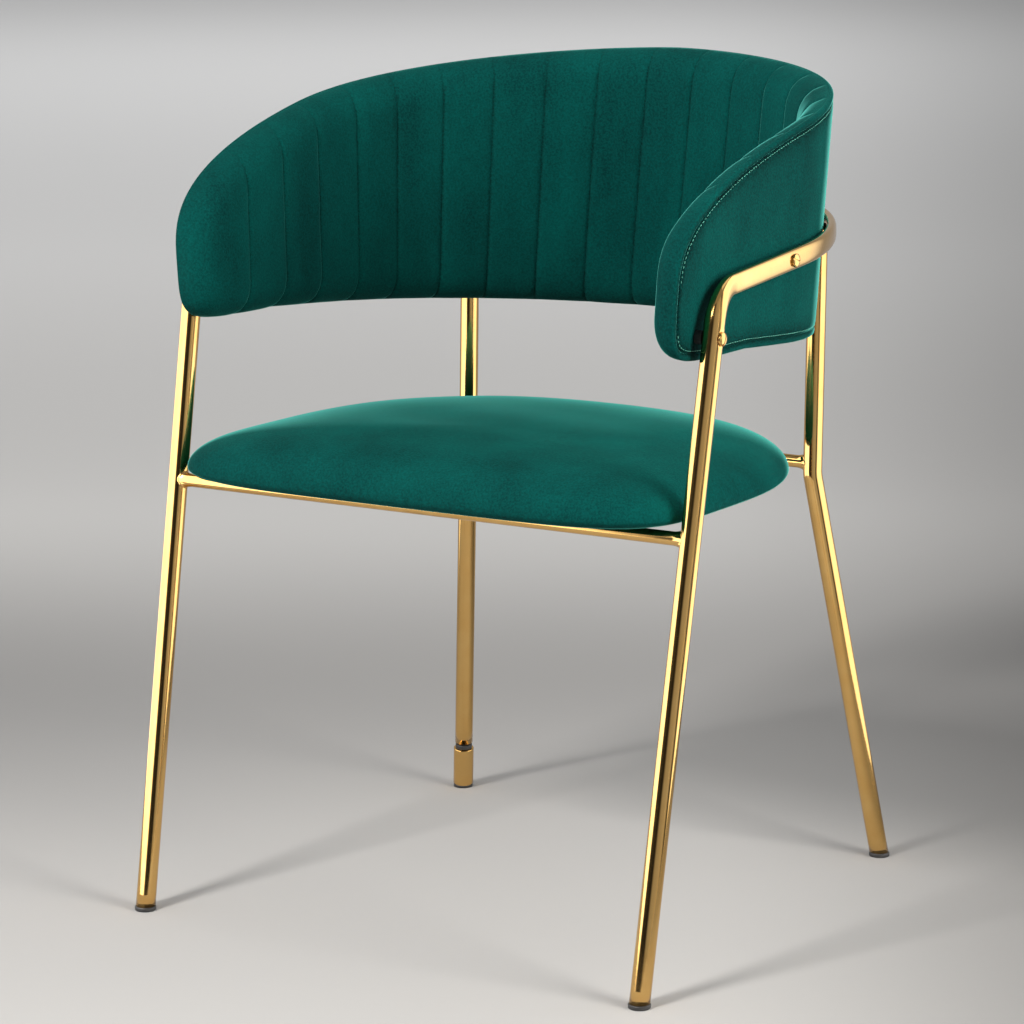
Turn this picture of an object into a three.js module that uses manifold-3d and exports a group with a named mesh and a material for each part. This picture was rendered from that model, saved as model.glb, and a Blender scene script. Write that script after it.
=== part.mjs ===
// Dining chair: a bent tube frame, a channelled wrap-round back pad and a round-backed seat.
// Millimetres, +Z up. The origin is on the floor under the middle of the back bow, and the
// chair faces -Y, so +X is the sitter's left.

import * as THREE from 'three';
import { ParametricGeometry } from 'three/addons/geometries/ParametricGeometry.js';
import { mergeVertices } from 'three/addons/utils/BufferGeometryUtils.js';
import Module from 'manifold-3d';

const wasm = await Module();
wasm.setup();

// ---------------------------------------------------------------- driving dimensions

const clearance = 0.3;                       // between pieces that touch
const roundSides = 16;                       // facets round a tube
const screwFacets = 10;                      // and round the fasteners

const tube = { radius: 9, wall: 1.5 };       // legs, and the arm loop before it is pressed flat
const flat = { halfThick: 4.8, halfTall: 9.25, squareness: 2.7 };   // the pressed arm and bow

const bow = { radius: 265.6, height: 608.3, rise: 0.075 };   // rise is per mm towards the back
const frontLeg = { footInset: 5.5, footY: -262, railOutset: 0.9, railY: -191.7, bendRadius: 36 };
const rearLeg = {
  topAngle: 44.7, padGap: 0.94, saddle: 2.5,
  kinkAside: 0.47, kinkForward: 4.65, kinkZ: 379.6, kinkRadius: 40, splayAside: 47.1, splayBack: 63,
};
const crossRail = { radius: 6, wall: 1.5, height: 390, weldProud: 2.2, weldLength: 8 };

const glide = { lip: 0.8, thickness: 4, plugLength: 16 };

const tab = {
  width: 28, thickness: 2.5, margin: 12, frontX: 150, frontHole: 26, rearX: 70, rearHole: 52,
};

const seat = {
  legGap: 0.57, middleY: -85.5, frontOverhang: 53.8, rearShort: 1.8,
  frontSquareness: 5.2, rearSquareness: 2.35,
  rimRise: 10, crown: 8, shoulder: 34, underCut: 16,
};
const seatCover = { thickness: 1.5, hem: 16 };
const seatBoard = { thickness: 12, inset: 20 };
const dustCover = 1;

// Heights of the pad are from the bow: its top is above it and the others are below.
const back = {
  frameGap: 3.54, lean: 0.065, nosePastLeg: 42.1,
  topAbove: 156.2, noseBelow: 13.3, bottomBelow: 93.3, wingBottomBelow: 73.3,
  thickness: 30, roll: 35,
  legScrewBelow: 51.3, armScrewY: -17, bowScrewFacet: 2,   // the facet is from the middle
};
const backCover = { thickness: 1.5, seamInset: 6, panel: 1.2 };
const backPly = { thickness: 8, inset: 8 };

const thread = { radius: 3, head: 6, headHeight: 3.4, slot: 1.2, slotDepth: 1.2 };
const washer = { radius: 7, thickness: 1.2 };
const teeNut = { flange: 9, flangeThickness: 1.5, barrelWall: 0.9 };
const spacerRadius = 6;
const overrun = 5;                           // a cut is drawn this far past the face it opens in
const wellClear = 400;                       // and a level cut reaches this far from the middle
const dimple = { past: 1, depth: 0.8 };      // pressed into the leg round its screw head

const leveller = {
  padHeight: 4.3, spigotRadius: 3, spigotLength: 7,
  sleeveProud: 1.2, sleeveLength: 40, ringShy: 0.6, ringLength: 4.5, ringGap: 2.1,
  studRadius: 4, studGrip: 24, insertLength: 20,
};

// ---------------------------------------------------------------- materials

const gold = new THREE.MeshStandardMaterial({ color: 0xcfa558, roughness: 0.22, metalness: 1 });
const zinc = new THREE.MeshStandardMaterial({ color: 0xb9bcc0, roughness: 0.4, metalness: 1 });
const velvet = new THREE.MeshStandardMaterial({ color: 0x0a6156, roughness: 0.95, metalness: 0 });
const foam = new THREE.MeshStandardMaterial({ color: 0xe6dcc0, roughness: 1, metalness: 0 });
const plywood = new THREE.MeshStandardMaterial({ color: 0xc9a878, roughness: 0.8, metalness: 0 });
const blackPlastic = new THREE.MeshStandardMaterial({ color: 0x141414, roughness: 0.5, metalness: 0 });
const blackCloth = new THREE.MeshStandardMaterial({ color: 0x1c1c1e, roughness: 1, metalness: 0 });

// ---------------------------------------------------------------- solids and shapes

const vec = (x, y, z) => new THREE.Vector3(x, y, z);
const upward = vec(0, 0, 1);

function solid(geometry) {
  const bare = geometry.clone();
  bare.deleteAttribute('normal');
  bare.deleteAttribute('uv');
  const merged = mergeVertices(bare.index ? bare : bare.toNonIndexed(), 1e-4);
  const corners = merged.index.array;
  const kept = [];
  for (let i = 0; i < corners.length; i += 3) {
    const [a, b, c] = [corners[i], corners[i + 1], corners[i + 2]];
    if (a !== b && b !== c && c !== a) kept.push(a, b, c);
  }
  return new wasm.Manifold(new wasm.Mesh({
    numProp: 3,
    vertProperties: new Float32Array(merged.attributes.position.array),
    triVerts: new Uint32Array(kept),
  }));
}

function geometryOf(body) {
  const mesh = body.getMesh();
  const geometry = new THREE.BufferGeometry();
  geometry.setAttribute('position', new THREE.BufferAttribute(new Float32Array(mesh.vertProperties), 3));
  geometry.setIndex(new THREE.BufferAttribute(new Uint32Array(mesh.triVerts), 1));
  geometry.computeVertexNormals();
  return geometry;
}

// A closed body through rings of points that run anticlockwise about the way of travel.
// Its ends are closed on the middle of the first and the last ring.
function loft(rings) {
  const count = rings[0].length;
  const middle = (ring) => ring.reduce((sum, p) => sum.add(p), vec(0, 0, 0)).divideScalar(count);
  const cap = (ring) => new Array(count).fill(middle(ring));
  const rows = [cap(rings[0]), ...rings, cap(rings.at(-1))];
  const surface = (u, v, target) => {
    const row = rows[Math.min(rows.length - 1, Math.max(0, Math.round(v * (rows.length - 1))))];
    target.copy(row[(Math.round(u * count) + count) % count]);
  };
  return solid(new ParametricGeometry(surface, count, rows.length - 1));
}

// A ring across the way of travel: n points outwards, and the section is a superellipse.
function sectionRing(station, halfThick, halfTall, squareness) {
  const across = station.t.clone().cross(station.n);
  return Array.from({ length: roundSides }, (_, i) => {
    const angle = (i / roundSides) * 2 * Math.PI;
    const [c, s] = [Math.cos(angle), Math.sin(angle)];
    const power = 2 / squareness;
    const a = halfThick * Math.sign(c) * Math.abs(c) ** power;
    const b = halfTall * Math.sign(s) * Math.abs(s) ** power;
    return station.p.clone().addScaledVector(station.n, a).addScaledVector(across, b);
  });
}

// Stations along straight runs joined by arcs; n is the outward direction nearest to +X.
function stationsAlong(points, radii, steps) {
  const station = (p, t) => ({ p, t, n: vec(1, 0, 0).addScaledVector(t, -t.x).normalize() });
  const ways = points.slice(1).map((p, i) => p.clone().sub(points[i]).normalize());
  const stations = [station(points[0], ways[0])];
  for (let i = 1; i < points.length - 1; i++) {
    const [before, after] = [ways[i - 1], ways[i]];
    const turn = before.angleTo(after);
    const start = points[i].clone().addScaledVector(before, -radii[i - 1] * Math.tan(turn / 2));
    const inward = after.clone().addScaledVector(before, -after.dot(before)).normalize();
    for (let k = 0; k <= steps; k++) {
      const angle = (turn * k) / steps;
      const p = start.clone()
        .addScaledVector(before, radii[i - 1] * Math.sin(angle))
        .addScaledVector(inward, radii[i - 1] * (1 - Math.cos(angle)));
      const t = before.clone().multiplyScalar(Math.cos(angle)).addScaledVector(inward, Math.sin(angle));
      stations.push(station(p, t));
    }
  }
  stations.push(station(points.at(-1), ways.at(-1)));
  return stations;
}

// A solid of revolution along a line: profile holds [radius, distance along] pairs, and
// starts and ends on the axis unless the ring is open in the middle.
function turned(profile, start, direction, facets = screwFacets) {
  const points = profile.map(([r, h]) => new THREE.Vector2(r, h));
  const geometry = new THREE.LatheGeometry(points, facets);
  const turn = new THREE.Quaternion().setFromUnitVectors(vec(0, 1, 0), direction.clone().normalize());
  geometry.applyQuaternion(turn);
  geometry.translate(start.x, start.y, start.z);
  return solid(geometry);
}

const rod = (radius, from, to, start, direction, facets) => turned(
  [[0, from], [radius, from], [radius, to], [0, to]], start, direction, facets,
);

const sleeve = (outer, inner, from, to, start, direction) => turned(
  [[inner, from], [outer, from], [outer, to], [inner, to], [inner, from]], start, direction,
);

function block(min, max) {
  const size = max.clone().sub(min);
  const geometry = new THREE.BoxGeometry(size.x, size.y, size.z);
  const middle = min.clone().add(max).multiplyScalar(0.5);
  geometry.translate(middle.x, middle.y, middle.z);
  return solid(geometry);
}

const mirrored = (p, side) => vec(p.x * side, p.y, p.z);

// ---------------------------------------------------------------- frame: centre lines

const bowPoint = (angle, outset = 0) => {
  const y = (bow.radius + outset) * Math.sin(angle);
  return vec((bow.radius + outset) * Math.cos(angle), y, bow.height + bow.rise * y);
};

const frontFoot = vec(bow.radius - frontLeg.footInset, frontLeg.footY, 0);
const frontCross = vec(bow.radius + frontLeg.railOutset, frontLeg.railY, crossRail.height);
const frontWay = frontCross.clone().sub(frontFoot).normalize();
const frontAt = (z) => frontFoot.clone().addScaledVector(frontWay, z / frontWay.z);

// The leg line meets the tilted plane of the arms at the corner of the front bend.
const cornerZ = (bow.height + bow.rise * frontLeg.footY)
  / (1 - (bow.rise * (frontLeg.railY - frontLeg.footY)) / crossRail.height);
const armCorner = frontAt(cornerZ);

// The arm runs from the corner to where it touches the bow.
const cornerReach = Math.hypot(armCorner.x, armCorner.y);
const touchAngle = Math.atan2(armCorner.y, armCorner.x) + Math.acos(bow.radius / cornerReach);

// The pad's outer face stands this far from the middle of the bow, at the bow's height.
const padRadius = bow.radius - flat.halfThick - back.frameGap;

const rearTopOutset = padRadius + rearLeg.padGap + tube.radius - bow.radius;
const rearTopAngle = THREE.MathUtils.degToRad(rearLeg.topAngle);
const rearTop = bowPoint(rearTopAngle, rearTopOutset)
  .addScaledVector(upward, rearLeg.saddle - flat.halfTall);
const rearKink = vec(
  rearTop.x + rearLeg.kinkAside, rearTop.y - rearLeg.kinkForward, rearLeg.kinkZ,
);
const rearFoot = vec(rearKink.x + rearLeg.splayAside, rearKink.y + rearLeg.splayBack, 0);
const rearWay = rearKink.clone().sub(rearFoot).normalize();

const belowFloor = 10;                       // legs are drawn past the floor, then cut level
const bends = { arm: 6, bow: 13, leg: 2 };    // facets round each bend

function armLoopStations() {
  const foot = frontAt(-belowFloor);
  const leg = stationsAlong([foot, armCorner, bowPoint(touchAngle)], [frontLeg.bendRadius], bends.arm);
  leg.pop();
  leg.forEach((station, i) => { station.flat = Math.max(0, i - 1) / (leg.length - 2); });
  const half = [...leg];
  for (let i = 0; i < bends.bow; i++) {
    const angle = touchAngle + ((Math.PI / 2 - touchAngle) * i) / bends.bow;
    half.push({
      p: bowPoint(angle),
      t: vec(-Math.sin(angle), Math.cos(angle), bow.rise * Math.cos(angle)).normalize(),
      n: vec(Math.cos(angle), Math.sin(angle), 0),
      flat: 1,
    });
  }
  const top = { p: bowPoint(Math.PI / 2), t: vec(-1, 0, 0), n: vec(0, 1, 0), flat: 1 };
  const other = half.map(({ p, t, n, flat: f }) => ({
    p: mirrored(p, -1), t: vec(t.x, -t.y, -t.z), n: mirrored(n, -1), flat: f,
  })).reverse();
  return [...half, top, ...other];
}

function armLoopBody(grow, lengthen = 0) {
  const stations = armLoopStations();
  stations[0].p.addScaledVector(stations[0].t, -lengthen);
  stations.at(-1).p.addScaledVector(stations.at(-1).t, lengthen);
  return loft(stations.map((station) => {
    const mix = (a, b) => THREE.MathUtils.lerp(a, b, station.flat);
    return sectionRing(
      station, mix(tube.radius, flat.halfThick) + grow, mix(tube.radius, flat.halfTall) + grow,
      mix(2, flat.squareness),
    );
  }));
}

function rearLegBody(side, grow, lengthen = 0) {
  const past = rearFoot.clone().addScaledVector(rearWay, -(belowFloor + lengthen) / rearWay.z);
  const top = rearTop.clone().addScaledVector(upward, lengthen);
  const points = [past, rearKink, top].map((p) => mirrored(p, side));
  const stations = stationsAlong(points, [rearLeg.kinkRadius], bends.leg);
  return loft(stations.map((s) => sectionRing(s, tube.radius + grow, tube.radius + grow, 2)));
}

// ---------------------------------------------------------------- back pad: shape

// Half-length of the pad round its outer face, from the middle of the back to the nose.
const legScrewHeight = bow.height - back.legScrewBelow;
const quarter = (padRadius * Math.PI) / 2;
const wrapLength = quarter - frontAt(legScrewHeight).y + back.nosePastLeg;

const wrapRadius = (z) => padRadius + back.lean * (z - bow.height);

// A point on the pad: along is the way round, inwards is the depth from the outer face.
function backPoint(along, z, inwards) {
  const r = wrapRadius(z) - inwards;
  const straight = Math.max(0, Math.abs(along) - quarter);
  const angle = Math.min(quarter, Math.abs(along)) / padRadius;
  return vec(Math.sign(along) * r * Math.sin(angle), r * Math.cos(angle) - straight, z);
}

// The wing's top edge falls in a long curve to the nose; its lower corner is a tight round.
const noseHeight = bow.height - back.noseBelow;
const topEdge = (t) => noseHeight
  + (back.topAbove + back.noseBelow) * (1 - t ** 1.5) ** 0.385;
function bottomEdge(t) {
  const rise = (back.bottomBelow - back.wingBottomBelow) * Math.min(1, t / 0.78) ** 1.7;
  const depth = back.bottomBelow - back.noseBelow - rise;
  return noseHeight - depth * (1 - t ** 30) ** 0.2;
}

// Places round a layer of the given half-length: even facets on the bow, the same for every
// layer so that they nest, then closer and closer together towards the nose of the wing.
const bowFacets = 9;
const rollFacets = 4;
const wingShares = [0.16, 0.36, 0.58, 0.76, 0.88, 0.95, 0.985, 0.998];

const halfPlaces = (length) => [
  ...Array.from({ length: bowFacets + 1 }, (_, i) => (quarter * i) / bowFacets),
  ...wingShares.map((share) => quarter + share * (length - quarter)),
];

function placesAlong(length) {
  const half = halfPlaces(length);
  return [...half.slice(1).reverse().map((place) => -place), ...half];
}

// The cushion's section: a flat outer face and an inner face that rolls over at both edges.
function padBody(inset) {
  const length = wrapLength - inset;
  const width = back.roll - inset;
  return loft(placesAlong(length).map((place) => {
    const t = Math.abs(place) / length;
    const [low, high] = [bottomEdge(t) + inset, topEdge(t) - inset];
    const fromNose = Math.min(1, (length - Math.abs(place)) / width);
    const depth = (back.thickness - 2 * inset) * Math.sqrt(1 - (1 - fromNose) ** 2);
    const roll = Math.min(width, (high - low) / 2 - 0.5);
    const rolled = (edge, way) => Array.from({ length: rollFacets }, (_, k) => {
      const angle = ((k + 1) / rollFacets) * (Math.PI / 2);
      return [edge + way * roll * (1 - Math.cos(angle)), inset + depth * Math.sin(angle)];
    });
    const inner = [...rolled(high, -1), [(low + high) / 2, inset + depth], ...rolled(low, 1).reverse()];
    const ring = [[low, inset], [high, inset], ...inner];
    return ring.map(([z, inwards]) => backPoint(place, z, inwards));
  }));
}

// A sheet that follows the pad's outer face between two depths, inset from its outline.
function backSheet(inset, from, to) {
  const length = wrapLength - inset;
  return loft(placesAlong(length).map((place) => {
    const t = Math.abs(place) / length;
    const low = bottomEdge(t) + inset;
    const high = Math.max(topEdge(t) - inset, low + 1);
    return [[low, from], [high, from], [high, to], [low, to]].map(
      ([z, inwards]) => backPoint(place, z, inwards),
    );
  }));
}

// ---------------------------------------------------------------- seat: shape

const seatBase = crossRail.height + crossRail.radius + clearance;
const seatRim = seatBase + seat.rimRise;
const seatHalfWidth = frontAt(seatRim).x - tube.radius - seat.legGap;
const frontReach = seat.middleY - frontLeg.railY + seat.frontOverhang;
const rearReach = rearKink.y - seat.rearShort - seat.middleY;
const boardBase = seatBase + seatCover.thickness + clearance;

const seatFacets = 36;

function seatOutline(share, inset, z) {
  return Array.from({ length: seatFacets }, (_, i) => {
    const angle = (i / seatFacets) * 2 * Math.PI;
    const [c, s] = [Math.cos(angle), Math.sin(angle)];
    const power = 2 / (s < 0 ? seat.frontSquareness : seat.rearSquareness);
    const reach = (s < 0 ? frontReach : rearReach) - inset;
    const x = (seatHalfWidth - inset) * Math.sign(c) * Math.abs(c) ** power;
    const y = reach * Math.sign(s) * Math.abs(s) ** power;
    return vec(x * share, seat.middleY + y * share, z);
  });
}

// The cushion: flat below, cut under to the rim, then a steep shoulder and a low crown.
function seatBody(inset) {
  const under = 1 - seat.underCut / seatHalfWidth;
  const below = [0, 0.5, 0.85].map((f) => [
    THREE.MathUtils.lerp(under, 1, Math.sin((f * Math.PI) / 2)),
    seatBase + inset + (seat.rimRise - inset) * (1 - Math.cos((f * Math.PI) / 2)),
  ]);
  const above = [1, 0.99, 0.96, 0.9, 0.78, 0.6, 0.35].map((share) => [
    share,
    seatRim + (seat.shoulder - inset / 2) * Math.sqrt(1 - share ** 6)
      + (seat.crown - inset / 2) * (1 - share ** 2),
  ]);
  return loft([...below, ...above].map(([share, z]) => seatOutline(share, inset, z)));
}

const seatPlate = (inset, from, to) => loft([seatOutline(1, inset, from), seatOutline(1, inset, to)]);

// ---------------------------------------------------------------- the chair

const chair = new THREE.Group();

function add(name, body, material) {
  const mesh = new THREE.Mesh(geometryOf(body), material);
  mesh.name = name;
  chair.add(mesh);
}

const sides = [{ name: 'left', side: 1 }, { name: 'right', side: -1 }];

// Screws through the frame into the back pad: a point on the tube's centre line, the way
// the screw points, and how far the tube's faces are from that point.
const armStart = bowPoint(touchAngle);
const armShare = (back.armScrewY - armStart.y) / (armCorner.y - armStart.y);
const bowScrew = Math.PI / 2 - ((Math.PI / 2 - touchAngle) * back.bowScrewFacet) / bends.bow;
const backScrews = sides.flatMap(({ name, side }) => [
  {
    name: `leg_${name}`, p: mirrored(frontAt(legScrewHeight), side), way: vec(-side, 0, 0),
    outer: tube.radius - dimple.depth, inner: tube.radius,
  },
  {
    name: `arm_${name}`, p: mirrored(armStart.clone().lerp(armCorner, armShare), side),
    way: vec(-side, 0, 0), outer: flat.halfThick, inner: flat.halfThick,
  },
  {
    name: `rear_${name}`, p: mirrored(bowPoint(bowScrew), side),
    way: vec(-side * Math.cos(bowScrew), -Math.sin(bowScrew), 0),
    outer: flat.halfThick, inner: flat.halfThick,
  },
]);

// How far a screw travels from the tube's centre line to the facet of the pad that it meets.
function faceDepth({ p, way }) {
  const places = halfPlaces(wrapLength);
  for (let i = 1; i < places.length; i++) {
    const [a, b] = [places[i - 1], places[i]].map((place) => backPoint(Math.sign(p.x) * place, p.z, 0));
    const [facetX, facetY] = [b.x - a.x, b.y - a.y];
    const cross = way.x * facetY - way.y * facetX;
    const depth = ((a.x - p.x) * facetY - (a.y - p.y) * facetX) / cross;
    const share = ((a.x - p.x) * way.y - (a.y - p.y) * way.x) / cross;
    if (share >= 0 && share <= 1 && depth > 0) return depth;
  }
  throw new Error('a screw misses the back pad');
}

const screwHole = (screw, from, to) => rod(thread.radius + clearance, from, to, screw.p, screw.way);

// A domed, slotted screw; its head seats at one distance along the way and it ends at another.
function screwBody(start, way, seatAt, end) {
  const { radius, head, headHeight, slot, slotDepth } = thread;
  const top = seatAt - headHeight;
  const dome = turned([
    [0, top], [0.55 * head, top + 0.1 * headHeight], [0.88 * head, top + 0.3 * headHeight],
    [head, top + 0.68 * headHeight], [head, seatAt], [radius, seatAt], [radius, end], [0, end],
  ], vec(0, 0, 0), vec(0, 1, 0));
  const cut = new THREE.BoxGeometry(3 * head, 2 * slotDepth, slot);
  cut.translate(0, top, 0);
  const across = way.clone().cross(Math.abs(way.z) > 0.5 ? vec(1, 0, 0) : upward).normalize();
  const placed = new THREE.Matrix4().makeBasis(across, way, across.clone().cross(way));
  return dome.subtract(solid(cut)).transform(placed.setPosition(start).elements);
}

const teeNutBarrel = thread.radius + clearance + teeNut.barrelWall;

function teeNutBody(start, way, flangeEnd, barrelStart) {
  const { flange, flangeThickness } = teeNut;
  const bore = thread.radius + clearance;
  const shoulder = flangeEnd - flangeThickness;
  return turned([
    [bore, barrelStart], [teeNutBarrel, barrelStart], [teeNutBarrel, shoulder], [flange, shoulder],
    [flange, flangeEnd], [bore, flangeEnd], [bore, barrelStart],
  ], start, way);
}

// The hole that a tee nut sits in: a barrel hole with a pocket for the flange.
function teeNutPocket(start, way, flangeEnd, from) {
  const shoulder = flangeEnd - teeNut.flangeThickness - clearance;
  return rod(teeNutBarrel + clearance, from, flangeEnd, start, way)
    .add(rod(teeNut.flange + clearance, shoulder, flangeEnd + overrun, start, way));
}

// ---- frame

const levelCut = (height) => block(
  vec(-wellClear, -wellClear, -wellClear), vec(wellClear, wellClear, height),
);
const footCut = levelCut(glide.thickness + clearance);

let armLoop = armLoopBody(0).subtract(armLoopBody(-tube.wall, overrun)).subtract(footCut);
for (const screw of backScrews) {
  armLoop = armLoop.subtract(screwHole(screw, -2 * tube.radius, 2 * tube.radius));
  if (screw.outer < screw.inner) {
    armLoop = armLoop.subtract(rod(
      thread.head + dimple.past, -2 * tube.radius, -screw.outer, screw.p, screw.way,
    ));
  }
}
add('arm_loop_tube', armLoop, gold);

// The levelling foot is on the right rear leg, so that leg stops above it, square to its line.
const level = leveller;
const legLine = { start: mirrored(rearFoot, -1), way: mirrored(rearWay, -1) };
const sleeveStart = level.padHeight + clearance;
const sleeveEnd = sleeveStart + level.sleeveLength;
const ringStart = sleeveEnd + clearance;
const ringEnd = ringStart + level.ringLength;
const shortLegEnd = ringEnd + level.ringGap;
const alongLeg = (radius, from, to) => rod(radius, from, to, legLine.start, legLine.way, roundSides);

const loopCut = armLoopBody(clearance);
for (const { name, side } of sides) {
  const end = side > 0 ? footCut : alongLeg(4 * tube.radius, -wellClear, shortLegEnd);
  const leg = rearLegBody(side, 0).subtract(rearLegBody(side, -tube.wall, overrun))
    .subtract(loopCut).subtract(end);
  add(`rear_leg_${name}`, leg, gold);
}

// A cross rail is a tube between two legs, with a flared weld at each end.
function crossRailBody(x, y, legs) {
  const { radius, wall, height, weldProud, weldLength } = crossRail;
  const [start, way] = [vec(-x, y, height), vec(1, 0, 0)];
  const face = tube.radius;
  const welds = [0, 2 * x].map((end) => {
    const out = end === 0 ? 1 : -1;
    const steps = [[0, end], [radius + weldProud, end], [radius + weldProud, end + out * face],
      [radius, end + out * (face + weldLength)], [0, end + out * (face + weldLength)]];
    return turned(out > 0 ? steps : steps.reverse(), start, way, roundSides);
  });
  return legs.reduce(
    (body, leg) => body.subtract(leg),
    rod(radius, 0, 2 * x, start, way, roundSides).add(welds[0]).add(welds[1])
      .subtract(rod(radius - wall, -overrun, 2 * x + overrun, start, way, roundSides)),
  );
}

add('front_cross_rail', crossRailBody(frontCross.x, frontCross.y, [loopCut]), gold);
add('rear_cross_rail', crossRailBody(
  rearKink.x, rearKink.y, sides.map(({ side }) => rearLegBody(side, clearance)),
), gold);

// ---- seat

const railTop = crossRail.height + crossRail.radius;
const tabBottom = railTop - tab.thickness;
const boardTop = boardBase + seatBoard.thickness;
const washerTop = tabBottom - clearance;
const headTop = washerTop - washer.thickness - clearance;

let board = seatPlate(seatBoard.inset, boardBase, boardTop);
const hemEdge = seat.underCut + seatCover.hem;
let underCloth = seatPlate(hemEdge + clearance, seatBase, seatBase + dustCover);

const tabs = sides.flatMap(({ name, side }) => [
  { name: `front_${name}`, x: side * tab.frontX, railY: frontCross.y, inward: 1, hole: tab.frontHole },
  { name: `rear_${name}`, x: side * tab.rearX, railY: rearKink.y, inward: -1, hole: tab.rearHole },
]);
for (const { name, x, railY, inward, hole } of tabs) {
  const reach = railY + inward * (hole + tab.margin);
  const place = vec(x, railY + inward * hole, 0);
  const plate = block(
    vec(x - tab.width / 2, Math.min(railY, reach), tabBottom),
    vec(x + tab.width / 2, Math.max(railY, reach), railTop),
  );
  const rail = rod(crossRail.radius + clearance, -tab.width, tab.width,
    vec(x, railY, crossRail.height), vec(1, 0, 0), roundSides);
  const bore = thread.radius + clearance;
  add(`seat_tab_${name}`, plate.subtract(rail).subtract(rod(bore, 0, 2 * railTop, place, upward)), gold);
  add(`seat_washer_${name}`,
    sleeve(washer.radius, bore, washerTop - washer.thickness, washerTop, place, upward), zinc);
  add(`seat_screw_${name}`, screwBody(place, upward, headTop, boardTop - clearance), zinc);
  add(`seat_tee_nut_${name}`,
    teeNutBody(place, upward, boardTop, boardBase + seatBoard.thickness / 4), zinc);
  board = board.subtract(teeNutPocket(place, upward, boardTop, seatBase));
  underCloth = underCloth.subtract(rod(bore, 0, 2 * railTop, place, upward));
}
add('seat_board', board, plywood);
add('seat_dust_cover', underCloth, blackCloth);

const seatSkin = seatBody(0).subtract(seatBody(seatCover.thickness)).subtract(
  seatPlate(hemEdge, seatBase - overrun, seatBase + seatCover.thickness + clearance / 2),
);
const seatCushion = seatBody(seatCover.thickness + clearance).subtract(
  seatPlate(seatBoard.inset - clearance, seatBase, boardTop + clearance),
);
add('seat_cover', seatSkin, velvet);
add('seat_foam', seatCushion, foam);

// ---- back

const plyFrom = backCover.thickness;
const plyTo = plyFrom + backPly.thickness;
let ply = backSheet(backPly.inset, plyFrom, plyTo);
const padCut = padBody(-clearance);
let backCushion = padBody(backCover.thickness + clearance).subtract(
  backSheet(backPly.inset - clearance, -overrun, plyTo + clearance),
);
let outerPanel = backSheet(backCover.seamInset + clearance, 0, backCover.panel);
for (const screw of backScrews) {
  const face = faceDepth(screw);
  ply = ply.subtract(teeNutPocket(screw.p, screw.way, face + plyTo, face));
  outerPanel = outerPanel.subtract(screwHole(screw, face - overrun, face + overrun));
  backCushion = backCushion.subtract(
    rod(teeNut.flange + clearance, face, face + plyTo + clearance, screw.p, screw.way),
  );
  add(`back_screw_${screw.name}`,
    screwBody(screw.p, screw.way, -screw.outer - clearance, face + plyTo - clearance), gold);
  const spacer = sleeve(
    spacerRadius, thread.radius + clearance, screw.inner - overrun, face + overrun, screw.p, screw.way,
  );
  add(`back_spacer_${screw.name}`, spacer.subtract(loopCut).subtract(padCut), blackPlastic);
  add(`back_tee_nut_${screw.name}`,
    teeNutBody(screw.p, screw.way, face + plyTo, face + plyFrom + backPly.thickness / 4), zinc);
}
add('back_ply_shell', ply, plywood);
add('back_cover_outer', outerPanel, velvet);
add('back_cover_inner', padBody(0).subtract(padBody(backCover.thickness)).subtract(
  backSheet(backCover.seamInset, -overrun, backCover.thickness + clearance / 2),
), velvet);
add('back_foam', backCushion, foam);

// ---- feet

const glideRadius = tube.radius + glide.lip;
const plugRadius = tube.radius - tube.wall - clearance;
const glides = [
  ...sides.map(({ name, side }) => ({ name: `front_${name}`, foot: frontFoot, way: frontWay, side })),
  { name: 'rear_left', foot: rearFoot, way: rearWay, side: 1 },
];
for (const { name, foot, way, side } of glides) {
  const middle = foot.clone().addScaledVector(way, glide.thickness / 2).setZ(0);
  const flange = rod(glideRadius, 0, glide.thickness, mirrored(middle, side), upward, roundSides);
  const plug = rod(plugRadius, 0, glide.thickness + glide.plugLength,
    mirrored(foot, side), mirrored(way, side), roundSides);
  const stem = plug.subtract(levelCut(glide.thickness / 2));
  add(`foot_glide_${name}`, flange.add(stem), blackPlastic);
}

add('levelling_pad', alongLeg(glideRadius, -belowFloor, level.padHeight)
  .add(alongLeg(level.spigotRadius, 0, level.padHeight + level.spigotLength))
  .subtract(levelCut(0)), blackPlastic);

const studStart = sleeveEnd - level.studGrip;
const studHole = level.studRadius + clearance;
add('levelling_sleeve', alongLeg(tube.radius + level.sleeveProud, sleeveStart, sleeveEnd)
  .subtract(alongLeg(level.spigotRadius + clearance, 0,
    level.padHeight + level.spigotLength + clearance))
  .subtract(alongLeg(studHole, studStart - clearance, sleeveEnd + overrun)), gold);
add('levelling_stud', alongLeg(level.studRadius, studStart, shortLegEnd + level.insertLength), zinc);
add('levelling_lock_ring', alongLeg(tube.radius - level.ringShy, ringStart, ringEnd)
  .subtract(alongLeg(studHole, ringStart - overrun, ringEnd + overrun)), blackPlastic);
add('levelling_insert', alongLeg(plugRadius, shortLegEnd, shortLegEnd + level.insertLength)
  .subtract(alongLeg(studHole, shortLegEnd - overrun, shortLegEnd + level.insertLength + overrun)), zinc);

export default chair;
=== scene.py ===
# Dining chair: a bent gold tube frame, a channelled velvet back pad and a round-backed seat.
# Metres, +Z up, the chair faces -Y and +X is the sitter's left.

import bpy
import numpy as np
from mathutils import Matrix, Vector


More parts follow.
